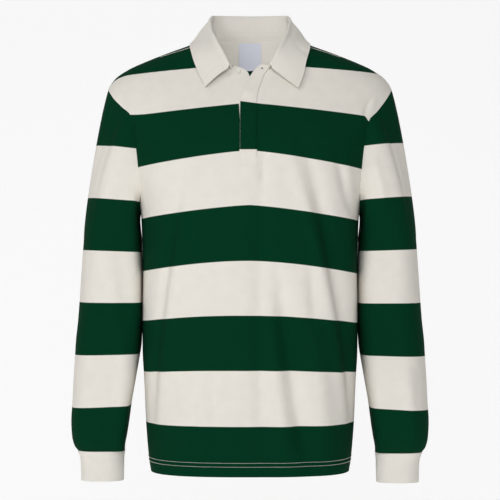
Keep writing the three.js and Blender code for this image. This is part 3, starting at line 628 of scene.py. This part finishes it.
# Edges of the stripes at each sleeve's middle, and how they tilt
sleeve_stripes = rows_of("at left right sag curve tilt", [
    (1, -40, -40, 0, 1, 0.11),
    (2, -168.5, -163.9, 0, 1, 0.11),
    (3, -260.5, -257.9, 0, 1, 0.07),
    (4, -350.9, -349.5, 0, 1, 0.033),
    (5, -440.5, -441.5, 0, 1, 0),
    (6, -531, -533.2, 0, 1, -0.03),
    (7, -620.7, -625, 0, 1, -0.055),
    (8, -716, -716, 0, 1, -0.055),
])
sleeve_middle = 270
inner_power = {"left": 8, "right": 5}
outer_power = 2.5
sleeve_tuck = 1.0
tuck_depth = 1.95
cuff_drop = {"left": 0, "right": -3}
sleeve_gap = 0.5
sleeve_top = -330
sleeve_end = -698


def armhole_loop(sign):
    """Points round the armhole from the ridge, down the front and up the back."""
    column = 0 if sign < 0 else -1
    top = len(share_rows) - 1
    under = front_points[sew_row, column] * [1, 0, 1]

    def around(back, front, lowest):
        return np.concatenate([
            back[top + 4 : top + 9, column],
            front[top : sew_row : -1, column],
            lowest[None],
            back[sew_row + 1 : top + 4, column],
        ])

    points = around(back_points, front_points, under)
    normals = around(back_normals, front_normals, front_normals[sew_row, column])
    return points, normals


def loop_share(points):
    lengths = np.linalg.norm(np.roll(points, -1, 0) - points, axis=1)
    run = np.concatenate([[0], np.cumsum(lengths)])
    lowest = int(points[:, 2].argmin())
    front_half = 0.5 * run[: lowest + 1] / run[lowest]
    back_half = 0.5 + 0.5 * (run[lowest + 1 : -1] - run[lowest]) / (run[-1] - run[lowest])
    return np.concatenate([front_half, back_half])


def square_reach(along_x, along_y, power):
    """How far a squared ring lies out in a direction, as a share of a plain ellipse's reach."""
    return (np.abs(along_x) ** power + np.abs(along_y) ** power) ** (-1 / power)


def sleeve_surface(side, share, z):
    sign = -1 if side == "left" else 1
    outer = follow(sleeve_table, "z", "outer", z)
    inner = follow(sleeve_table, "z", "inner", z)
    along_x = np.cos(share * 2 * np.pi)
    along_y = -np.sin(share * 2 * np.pi)
    front_power = np.where(along_x < 0, inner_power[side], outer_power)
    reach = square_reach(along_x, along_y, np.where(along_y < 0, front_power, 2))
    x = sign * ((outer + inner) / 2 + along_x * reach * (outer - inner) / 2)
    y = follow(sleeve_table, "z", "middle", z) + along_y * reach * follow(sleeve_table, "z", "deep", z)
    return np.stack(np.broadcast_arrays(x, y, z), -1)


def sleeve_push(side, share, z):
    """Push of the folds out of a sleeve."""
    push = np.zeros(np.broadcast(share, z).shape)
    for fold in sleeve_folds:
        if fold["side"] == side:
            along = (z - fold["z1"]) / (fold["z2"] - fold["z1"])
            turn = fold["turn1"] + (fold["turn2"] - fold["turn1"]) * np.clip(along, -0.3, 1.3)
            away = (share - turn) / fold["wide"]
            ends = ease(-0.2, 0.3, along) * (1 - ease(0.7, 1.1, along))
            push += fold["high"] * np.exp(-away * away) * ends
    return push


def grid_normals(points, closed, sign):
    down = np.gradient(points, axis=0)
    if closed:
        along = np.roll(points, -1, 1) - np.roll(points, 1, 1)
    else:
        along = np.gradient(points, axis=1)
    return unit(np.cross(down, along)) * sign


def sleeve_points(side):
    sign = -1 if side == "left" else 1
    loop, normals = armhole_loop(sign)
    share = loop_share(loop)
    half = np.minimum(share, 1 - share)
    facing = np.where(share <= 0.5, 1, -1)
    setting = np.stack([
        -sign * follow(sleeve_head, "at", "out", half),
        facing * follow(sleeve_head, "at", "fore", half),
        follow(sleeve_head, "at", "down", half),
    ], -1)
    setting = unit(setting)
    lifted = unit(setting - normals * (setting * normals).sum(-1, keepdims=True))
    flat = (1 - ease(0.12, 0.16, half))[:, None]
    setting = unit(lifted * flat + setting * (1 - flat))
    stand_off = (sleeve_gap + 1.1 * ease(0.28, 0.44, half))[:, None]
    outside = loop + setting * sleeve_gap + normals * stand_off
    tucked = loop - setting * sleeve_tuck - normals * tuck_depth
    start = tucked + (outside - tucked) * ease(0.34, 0.4, half)[:, None]
    finish = sleeve_surface(side, share, np.full(len(share), float(sleeve_top)))
    reach_start = follow(sleeve_head, "at", "start", half)[:, None]
    reach_finish = follow(sleeve_head, "at", "finish", half)[:, None]
    rows = []
    head_shares = np.linspace(0, 1, 70)[:-1]
    for t in head_shares:
        row = start * (2 * t**3 - 3 * t**2 + 1) + setting * reach_start * (t**3 - 2 * t**2 + t)
        row = row + finish * (3 * t**2 - 2 * t**3) + np.array([0, 0, -1]) * reach_finish * (t**3 - t**2)
        rows.append(row)
    for z in np.linspace(sleeve_top, sleeve_end, 115):
        rows.append(sleeve_surface(side, share, np.full(len(share), z)))
    points = np.array(rows)
    free = np.ones(len(rows))
    free[: len(head_shares)] = ease(0.05, 0.35, head_shares)
    push = free[:, None] * sleeve_push(side, share[None, :], points[..., 2])
    points = points + grid_normals(points, True, sign) * push[..., None]
    points[..., 2] += cuff_drop[side] * ease(-610, sleeve_end, points[..., 2])
    return points


def run_round(points):
    return run_along(np.concatenate([points, points[:, :1]], 1), 1)[:, :-1] * MM


def sleeve_cloth(points, side):
    edges = [{**edge, "z": edge[side]} for edge in sleeve_stripes]
    count = stripe_count(np.abs(points[..., 0]) - sleeve_middle, points[..., 2], edges)
    return np.stack([run_round(points), count], -1)


def make_sleeve(side):
    sign = -1 if side == "left" else 1
    points = sleeve_points(side)
    normals = grid_normals(points, True, sign)
    normals[-1, :, 2] = 0
    normals[-1] = unit(normals[-1])
    cloth = sleeve_cloth(points, side)
    sleeve = make_wall(f"{side}_sleeve", points, normals, jersey_wall, cloth, closed=True)
    dress(sleeve, jersey)
    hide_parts(f"sleeve_{side}")
    return points


left_points = make_sleeve("left")
right_points = make_sleeve("right")


# Cuffs: tubes of off-white ribbing knitted one by one, folded double and sewn
# to the gathered end of each sleeve, which swells over them.
cuff_table = rows_of("at half deep x y", [
    (0, 39, 35, 259, -8),
    (0.1, 37.4, 33, 258.4, -8.4),
    (0.25, 35.6, 31.4, 257.6, -9),
    (0.6, 34.8, 30.6, 257, -10),
    (1, 34.4, 30.4, 257, -11),
])
cuff_length = 51.5
cuff_power = 2.7
cuff_wall = 2.2
cuff_gap = 0.5
cuff_columns = 336
rib_count = 84
rib_height = 0.35
rib_loop_pitch = 0.0011


def rib_material(name):
    material, surface, across, down = cloth_material(name, white_yarn, 0.95, 0.15)
    loops = (down * (2 * math.pi / rib_loop_pitch)).sine()
    shade = noise(across, 55.0, 4.0) * 0.10 + 0.95
    height = loops * 0.3 + noise(across, 700.0, 2.0) * 0.8
    weave(surface, white_yarn, shade, height, 0.25, 0.0004)
    return material


ribbing = rib_material("white_ribbing")


def make_cuff(side, level):
    sign = -1 if side == "left" else 1
    share = np.linspace(0, 1, cuff_columns + 1)[:-1]
    at = np.linspace(0, 1, 44)[:, None]
    turn = share[None, :] * 2 * np.pi
    ribs = rib_height * np.cos(turn * rib_count) * ease(0, 0.06, at)
    reach = square_reach(np.cos(turn), np.sin(turn), cuff_power)
    half = follow(cuff_table, "at", "half", at) + ribs
    deep = follow(cuff_table, "at", "deep", at) + ribs
    x = sign * (follow(cuff_table, "at", "x", at) + np.cos(turn) * reach * half)
    y = follow(cuff_table, "at", "y", at) - np.sin(turn) * reach * deep
    z = level - cuff_gap - at * cuff_length + 0 * turn
    points = np.stack(np.broadcast_arrays(x, y, z), -1)
    normals = grid_normals(points, True, sign)
    normals[[0, -1], :, 2] = 0
    normals = unit(normals)
    run = run_round(points)
    cloth = np.stack([run, np.broadcast_to(at * cuff_length * MM, run.shape)], -1)
    cuff = make_wall(f"{side}_cuff", points, normals, cuff_wall, cloth, closed=True)
    dress(cuff, ribbing)
    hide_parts(f"cuff_{side}")


make_cuff("left", left_points[-1, 0, 2])
make_cuff("right", right_points[-1, 0, 2])


# Collar: off-white twill cut as a stand and a leaf in one, stitched double,
# turned over at the roll line and topstitched near its edges.
collar_table = rows_of("at rx ry rz ex ey ez", [
    (0, 0, 61, 66.5, 0, 74, 12),
    (0.2, 38, 57, 66.5, 48, 71, 11),
    (0.38, 65.5, 39, 65, 84, 50, 10),
    (0.52, 70, 8, 55, 103, 6, 10.5),
    (0.66, 66.5, -29, 33, 102, -44, -5),
    (0.78, 58, -59, 13, 98.5, -66, -20),
    (0.9, 47, -78, -9, 90, -81, -43),
    (1, 34, -87, -34, 76, -98, -72),
])
collar_wall = 1.7
collar_end_share = 0.352
collar_over = 0.52
collar_turn = 0.06
foot_rise = 1.8
foot_end_rise = 3.1
foot_sink = 0.9
collar_stand_off = 1.4
leaf_bulge = 3
right_leaf_dent = -1.5
right_leaf_out = 6
right_leaf_down = 2.5
roll_drop = 5
twill_pitch = 0.0011
# The bend at the roll line: how far out, its share of the drop, and how far down
roll_bend = rows_of("out drop fall", [
    (-2.9, 1, 0),
    (-2.1, 0.3, 0),
    (0, 0, 0),
    (2.4, 0.3, 0),
    (3.8, 0, 5),
])


def twill_material(name):
    material, surface, across, down = cloth_material(name, white_yarn, 0.9, 0.1)
    ridges = ((across + down) * (2 * math.pi / twill_pitch)).sine()
    shade = noise(across, 50.0, 4.0) * 0.08 + 0.96
    height = ridges * 0.4 + noise(across, 800.0, 2.0) * 0.6
    weave(surface, white_yarn, shade, height, 0.2, 0.0003)
    return material


twill = twill_material("white_twill")


def clear_of_body(point, margin):
    place = np.array(point, float)
    for _ in range(3):
        face = "front" if place[1] < 0 else "back"

        def measure(q):
            a = body_at("half", q[2])
            b = body_at(face, q[2])
            n = body_at("power", q[2])
            return ((abs(q[0]) / a) ** n + (abs(q[1]) / b) ** n) ** (1 / n) - 1

        here = measure(place)
        slope = np.array([(measure(place + 0.5 * step) - here) / 0.5 for step in np.eye(3)])
        away = here / np.linalg.norm(slope)
        if away < margin:
            place = place + unit(slope) * (margin - away)
    return place


def collar_foot(side):
    """Foot of the collar just off the cut neckline, on the side of positive x."""
    if side < collar_over - collar_turn:
        at = side / (collar_over - collar_turn)
        x = follow(back_neckline, "at", "x", at)
        edge, normal = body_point("back", x, follow(back_neckline, "at", "z", at))
    elif side > collar_over + collar_turn:
        past = (side - collar_over - collar_turn) / (1 - collar_over - collar_turn)
        at = 1 - past * (1 - collar_end_share)
        x = follow(front_neckline, "at", "x", at)
        edge, normal = body_point("front", x, follow(front_neckline, "at", "z", at))
    else:
        t = (side - collar_over) / collar_turn
        level = ridge_level(neck_reach) - (t * seam_forward) ** 2
        edge, normal = body_point("front" if t > 0 else "back", neck_reach, level)
        if abs(t) < 0.02:
            edge[1] = 0
    up = np.array([0.0, 0, 1])
    off = unit(up - normal * up.dot(normal))
    rise = foot_rise + (foot_end_rise - foot_rise) * ease(0.78, 0.95, side)
    return edge - normal * foot_sink + off * rise


def collar_line(across):
    side = abs(across)
    mirror = np.array([-1.0 if across < 0 else 1.0, 1, 1])
    seam = collar_foot(side)
    roll = np.array([follow(collar_table, "at", key, side) for key in ("rx", "ry", "rz")])
    edge = np.array([follow(collar_table, "at", key, side) for key in ("ex", "ey", "ez")])
    if across > 0:
        edge = edge + np.array([right_leaf_out, 0, -right_leaf_down]) * ease(0.8, 1, side)
    out = edge - seam
    if side < 0.3:
        out = np.array([seam[0] * 0.8, seam[1], 0])
    out[2] = 0
    out = unit(out)
    drop = min(roll_drop, roll[2] - seam[2] - 4)
    down = np.array([0.0, 0, -1])
    bend = [roll + out * b["out"] + down * (drop * b["drop"] + b["fall"]) for b in roll_bend]
    knots = [seam, seam + (bend[0] - seam) * 0.35, seam + (bend[0] - seam) * 0.7, *bend]
    bulge = leaf_bulge
    if across > 0:
        bulge = leaf_bulge + (right_leaf_dent - leaf_bulge) * ease(0.5, 0.75, side)
    for t in (0.25, 0.5, 0.75, 1):
        point = bend[4] + (edge - bend[4]) * t
        point = point + out * bulge * math.sin(math.pi * t) * (1 - 0.5 * t)
        knots.append(clear_of_body(point, collar_wall + collar_stand_off))
    return np.array(knots) * mirror


def curve_through(knots, count):
    """An even, smooth line of points through knots."""
    run = np.concatenate([[0], np.cumsum(np.linalg.norm(np.diff(knots, axis=0), axis=1))])
    fine = np.linspace(0, run[-1], count)
    tables = [[{"at": r, "v": k[axis]} for r, k in zip(run, knots)] for axis in range(3)]
    return np.stack([follow(rows, "at", "v", fine) for rows in tables], -1)


collar_across = np.linspace(-1, 1, 261)
collar_points = np.array([curve_through(collar_line(a), 72) for a in collar_across])
collar_normals = grid_normals(collar_points, False, 1)
collar_run = run_along(collar_points, 0) * MM
collar_fall = run_along(collar_points, 1) * MM
collar_cloth = np.stack([collar_run, collar_fall], -1)
collar = make_wall("folded_collar", collar_points, collar_normals, collar_wall, collar_cloth)
dress(collar, twill)
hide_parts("collar")


# Placket: two strips sewn to the edges of the slit, the wearer's left one of
# striped jersey on top and the right one of twill beneath, open at the neck.
over_strip = rows_of("z free sewn", [
    (-211, -17.6, 11.8),
    (-182, -17.6, 11.8),
    (-140, -17.4, 11.8),
    (-98, -16.4, 12.2),
    (-88, -13.4, 13.4),
    (-76, -9, 16),
    (-62, -2.5, 20.6),
    (-50, 4.2, 25.4),
    (-42, 10.6, 30.5),
    (-35, 18.5, 33),
])
under_strip = rows_of("z free sewn", [
    (-186, 10, -16.5),
    (-165, 10, -16.5),
    (-140, 9.6, -17),
    (-98, 8, -19),
    (-76, 4, -24),
    (-62, 0.6, -27.5),
    (-54, -0.8, -29),
    (-47, -3.6, -30.5),
    (-42, -9, -32.5),
    (-38.5, -16, -33),
    (-36, -24, -33.5),
])
strip_wall = 0.8
strip_layer = 1.0
pressed_edge = 1.4
open_lip = 4.5
lip_end = -98
lip_rise = 18
pressed_from = 0.92
strip_step = 12
under_end = -187
eyelet = {"x": 20.4, "z": -41.2, "wide": 2.2, "high": 1.3}
strip_stripes = rows_of("at z sag curve tilt", [
    (0, -31, 0, 1, 0),
    (1, -100, 0, 1, -0.133),
    (2, -181.2, 0, 1, 0),
    (3, -275, 0, 1, 0),
])


def make_strip(name, table, layers, material, node, striped):
    low = min(row["z"] for row in table)
    high = max(row["z"] for row in table)
    z = (low + (high - low) * np.linspace(0, 1, 180))[:, None]
    free = follow(table, "z", "free", z)
    sewn = follow(table, "z", "sewn", z)
    share = np.linspace(0, 1, 36)[None, :]
    x = np.minimum(free, sewn) + np.abs(sewn - free) * share
    on_top = ease(under_end - strip_step, under_end, z)
    lift = strip_layer * (1 + (layers - 1) * on_top)
    if striped:
        lift = lift - pressed_edge * ease(pressed_from, 1, share) * on_top
        lift = lift + open_lip * (1 - share) * ease(lip_end, lip_end + lip_rise, z)
    points, normals = body_point("front", x, z, lift)
    run = run_along(points, 1) * MM
    hole = None
    if striped:
        fall = stripe_count(points[..., 0], points[..., 2], strip_stripes)
        middle_x = (x[:-1, :-1] + x[1:, 1:]) / 2
        middle_z = (z[:-1] + z[1:]) / 2
        beside = (middle_x - eyelet["x"]) / eyelet["wide"]
        above = (middle_z - eyelet["z"]) / eyelet["high"]
        hole = beside**2 + above**2 < 1
    else:
        fall = -points[..., 2] * MM
    strip = make_wall(name, points, normals, strip_wall, np.stack([run, fall], -1), hole=hole)
    dress(strip, material)
    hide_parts(node)
    return points, normals


strip_points, strip_normals = make_strip(
    "upper_placket_strip", over_strip, 2, jersey, "placket_over", True)
make_strip(
    "lower_placket_strip", under_strip, 1, twill, "placket_under", False)


# Half round facing: off-white twill sewn flat inside the back neck, which
# covers the inside of the seam and carries the label.
facing_reach = 60
facing_side_drop = 6
facing_round_drop = 42
facing_rise = 2.2
facing_wall = 1.0
facing_gap = 1.0
facing_in = -jersey_wall - facing_gap

facing_u = np.linspace(-1, 1, 91)[None, :]
facing_x = facing_u * facing_reach
facing_top = follow(back_neckline, "x", "z", np.abs(facing_x)) + facing_rise
facing_low = facing_top - facing_side_drop - facing_round_drop * np.sqrt(np.maximum(1 - facing_u**2, 0))
facing_t = np.linspace(0, 1, 40)[:, None]
facing_z = facing_top + (facing_low - facing_top) * facing_t
facing_points, facing_normals = body_point("back", facing_x, facing_z, facing_in)
facing_cloth = facing_points[..., [0, 2]] * [MM, -MM]
facing = make_wall("half_round_facing", facing_points, facing_normals, facing_wall, facing_cloth)
dress(facing, twill)
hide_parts("half_moon")


# Neck label: a bare white woven tab sewn by its top and its sides to the facing.
label_width = 40
label_length = 46
label_wall = 0.6
label_clear = 0.9
satin_pitch = 0.0005
satin_white = (0.71, 0.73, 0.83)


def satin_material(name):
    material, surface, across, down = cloth_material(name, satin_white, 0.55, 0.05)
    turns = 2 * math.pi / satin_pitch
    threads = (down * turns).sine() + (across * turns).sine()
    bump = threads.node("ShaderNodeBump", Height=threads, Strength=0.15, Distance=0.0001)
    threads.tree.links.new(bump.outputs[0], surface.inputs["Normal"])
    return material


label_x = np.linspace(-1, 1, 30)[None, :] * label_width / 2
label_z = back_neckline[0]["z"] - 2 - np.linspace(0, 1, 34)[:, None] * label_length
label_in = facing_in - facing_wall - label_clear
label_points, label_normals = body_point("back", label_x, label_z, label_in)
label_cloth = label_points[..., [0, 2]] * [MM, -MM]
label = make_wall("bare_neck_label", label_points, label_normals, label_wall, label_cloth)
dress(label, satin_material("white_satin"))
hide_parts("neck_label")


# Top button: a soft rubber disc with a raised rim, moulded in one piece and
# sewn on the lower strip of the placket, where the neck lies open.
button_x = -21.5
button_z = -45.5
button_lift = 1.1
button_columns = 48
# Radius and height up its side and over its rim
button_profile = [
    (0, 0), (5.0, 0), (5.4, 0.3), (5.5, 0.8), (5.5, 2.0), (5.3, 2.4), (4.9, 2.6),
    (4.4, 2.5), (3.9, 2.2), (2.0, 2.1), (0, 2.1),
]
rubber = plain_material("soft_rubber", (0.76, 0.73, 0.66), 0.5)[0]
button_spot, button_normal = body_point("front", np.array(button_x), np.array(button_z), button_lift)
turn_to = Vector((0, 0, 1)).rotation_difference(Vector(button_normal))
around = np.linspace(0, 2 * np.pi, button_columns + 1)[:-1]
button_places = []
for radius, height in button_profile[1:-1]:
    button_places += [turn_to @ Vector((radius * math.cos(a), radius * math.sin(a), height)) for a in around]
button_places += [turn_to @ Vector((0, 0, 0)), turn_to @ Vector((0, 0, button_profile[-1][1]))]
button_places = [tuple((Vector(button_spot) + p) * MM) for p in button_places]
rings = len(button_profile) - 2
button_faces = []
for k in range(button_columns):
    n = (k + 1) % button_columns
    for r in range(rings - 1):
        low = r * button_columns
        high = low + button_columns
        button_faces.append((low + k, low + n, high + n, high + k))
    top = (rings - 1) * button_columns
    centre = rings * button_columns
    button_faces.append((n, k, centre))
    button_faces.append((top + k, top + n, centre + 1))
button = lay_mesh("top_button", button_places, button_faces)
dress(button, rubber)
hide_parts("button_top")


# Sewing: off-white thread, in single stitches that lie proud of the cloth,
# two rows each round the hem, round the stand and across the placket's foot, and
# one on the shoulders, the cuffs and the edges of the collar and the placket.
thread = plain_material("white_thread", (0.72, 0.70, 0.62), 0.7)[0]
stitch_spots = np.array([0, 0.15, 0.5, 0.85, 1])
stitch_rise = np.array([-0.3, 0.3, 0.55, 0.3, -0.3])
stitch_girth = np.array([0.35, 0.9, 1.0, 0.9, 0.35])


def sew(name, lines, stitch, space, thick):
    """Stitches along lines of points and normals, in millimetres."""
    places = []
    faces = []
    for points, normals in lines:
        run = np.concatenate([[0], np.cumsum(np.linalg.norm(np.diff(points, axis=0), axis=1))])
        starts = np.arange(0, run[-1] - stitch, stitch + space)
        for begin in starts:
            spots = begin + stitch * stitch_spots
            line = np.stack([np.interp(spots, run, points[:, k]) for k in range(3)], -1)
            out = unit(np.stack([np.interp(spots, run, normals[:, k]) for k in range(3)], -1))
            along = unit(line[-1] - line[0])
            beside = unit(np.cross(along, out))
            rise = stitch_rise * thick
            girth = stitch_girth * thick / 2
            base = len(places)
            for s in range(5):
                centre = line[s] + out[s] * rise[s]
                for angle in (0, 60, 120, 180, 240, 300):
                    a = math.radians(angle)
                    places.append(centre + girth[s] * (beside[s] * math.cos(a) + out[s] * math.sin(a)))
            for s in range(4):
                for k in range(6):
                    n = (k + 1) % 6
                    first = base + s * 6
                    faces.append((first + k, first + n, first + 6 + n, first + 6 + k))
            faces.append(tuple(base + k for k in range(5, -1, -1)))
            faces.append(tuple(base + 24 + k for k in range(6)))
    dress(lay_mesh(name, (np.array(places) * MM).tolist(), faces), thread)


def level_line(face, z, count=400):
    angle = np.linspace(-1, 1, count) * np.pi / 2
    half = body_at("half", z)
    return body_point(face, half * np.sin(angle) * side_limit, np.full(count, float(z)), 0.1)


hem_rows = []
hem_row_heights = (17, 23.5)
for height in hem_row_heights:
    for face in ("front", "back"):
        hem_rows.append(level_line(face, hem_level + height))
sew("hem_stitches", hem_rows, 2.7, 0.7, 0.75)

stitched_reach = 158
below_at_neck = {-1: 10, 1: 9}
below_at_tip = 4.5
shoulder_lines = []
for sign, below in below_at_neck.items():
    x = sign * np.linspace(neck_reach + 1, stitched_reach, 200)
    level = ridge_level(x) - np.linspace(below, below_at_tip, 200)
    shoulder_lines.append(body_point("front", x, level, 0.2))
sew("shoulder_stitches", shoulder_lines, 3.2, 0.4, 1.1)

leaf_column = 67
edge_column = 5
stand_columns = (5, 10)
stand_row = 62
turn_column = 30
between = slice(edge_column, -edge_column)
collar_lines = [(collar_points[between, leaf_column], collar_normals[between, leaf_column])]
down_leaf = slice(turn_column, leaf_column + 1)
for row in (edge_column, -edge_column - 1):
    collar_lines.append((collar_points[row, down_leaf], collar_normals[row, down_leaf]))
round_stand = slice(stand_row, -stand_row)
for column in stand_columns:
    collar_lines.append((collar_points[round_stand, column], collar_normals[round_stand, column]))
sew("collar_topstitches", collar_lines, 2.4, 0.7, 0.5)

placket_lines = [(strip_points[2:-3, 1], strip_normals[2:-3, 1])]
for row in (3, 14):
    placket_lines.append((strip_points[row, 1:-1], strip_normals[row, 1:-1]))
sew("placket_topstitches", placket_lines, 2.0, 1.1, 0.32)

cuff_lines = []
for points in (left_points, right_points):
    sign = -1 if points[0, 0, 0] < 0 else 1
    row = points[-2]
    line = np.concatenate([row, row[:1]])
    normals = grid_normals(points, True, sign)[-2]
    cuff_lines.append((line, np.concatenate([normals, normals[:1]])))
sew("cuff_seam_stitches", cuff_lines, 2.4, 0.7, 0.6)


# Studio: pale paper behind and below, a large soft light from the upper left, one
# in front, a weak one above, a small one in the neck, and the camera square on.
def make_panel(name, width, height, place, turn, material):
    w = width / 2
    h = height / 2
    piece = lay_mesh(name, [(-w, -h, 0), (w, -h, 0), (w, h, 0), (-w, h, 0)], [(0, 1, 2, 3)])
    piece.data.materials.append(material)
    piece.location = place
    piece.rotation_euler = [math.radians(a) for a in turn]


paper, paper_surface = plain_material("pale_paper", (0.4, 0.4, 0.4), 1.0)
paper_surface.inputs["Emission Color"].default_value = (1, 1, 1, 1)
paper_surface.inputs["Emission Strength"].default_value = 0.66
make_panel("backdrop", 14, 9, (0, 3.2, 1.5), (90, 0, 0), paper)
make_panel("floor", 14, 14, (0, 0, -1.5), (0, 0, 0), paper)

lights = rows_of("name at aim size power", [
    ("key", (-3.1, -3.6, 1.9), (0, 0, -0.3), 2.2, 62),
    ("front", (-0.15, -3.6, 0.9), (0, 0, -0.1), 1.4, 49),
    ("top", (0.0, 0.6, 2.4), (0, 0, 0), 2.0, 6),
    ("neck", (0.1, -0.05, -0.17), (-0.03, 0.05, 0.06), 0.09, 0.13),
])
for light in lights:
    data = bpy.data.lights.new(light["name"], "AREA")
    data.size = light["size"]
    data.energy = light["power"]
    lamp = bpy.data.objects.new(light["name"], data)
    lamp.visible_camera = False
    lamp.location = light["at"]
    aim = Vector(light["aim"]) - Vector(light["at"])
    lamp.rotation_euler = aim.to_track_quat("-Z", "Y").to_euler()
    scene.collection.objects.link(lamp)

world = bpy.data.worlds.new("studio")
world.use_nodes = True
world.node_tree.nodes["Background"].inputs["Color"].default_value = (1, 1, 1, 1)
world.node_tree.nodes["Background"].inputs["Strength"].default_value = 0.2
scene.world = world

camera_distance = 3.25
camera_level = -0.35
picture_width = 0.875
film_width = 36
camera_data = bpy.data.cameras.new("square_on")
camera_data.sensor_width = film_width
camera_data.lens = film_width * camera_distance / picture_width
camera = bpy.data.objects.new("square_on", camera_data)
camera.location = (0, -camera_distance, camera_level)
camera.rotation_euler = (math.radians(90), 0, 0)
scene.collection.objects.link(camera)
scene.camera = camera
scene.view_settings.view_transform = "Standard"
scene.view_settings.look = "None"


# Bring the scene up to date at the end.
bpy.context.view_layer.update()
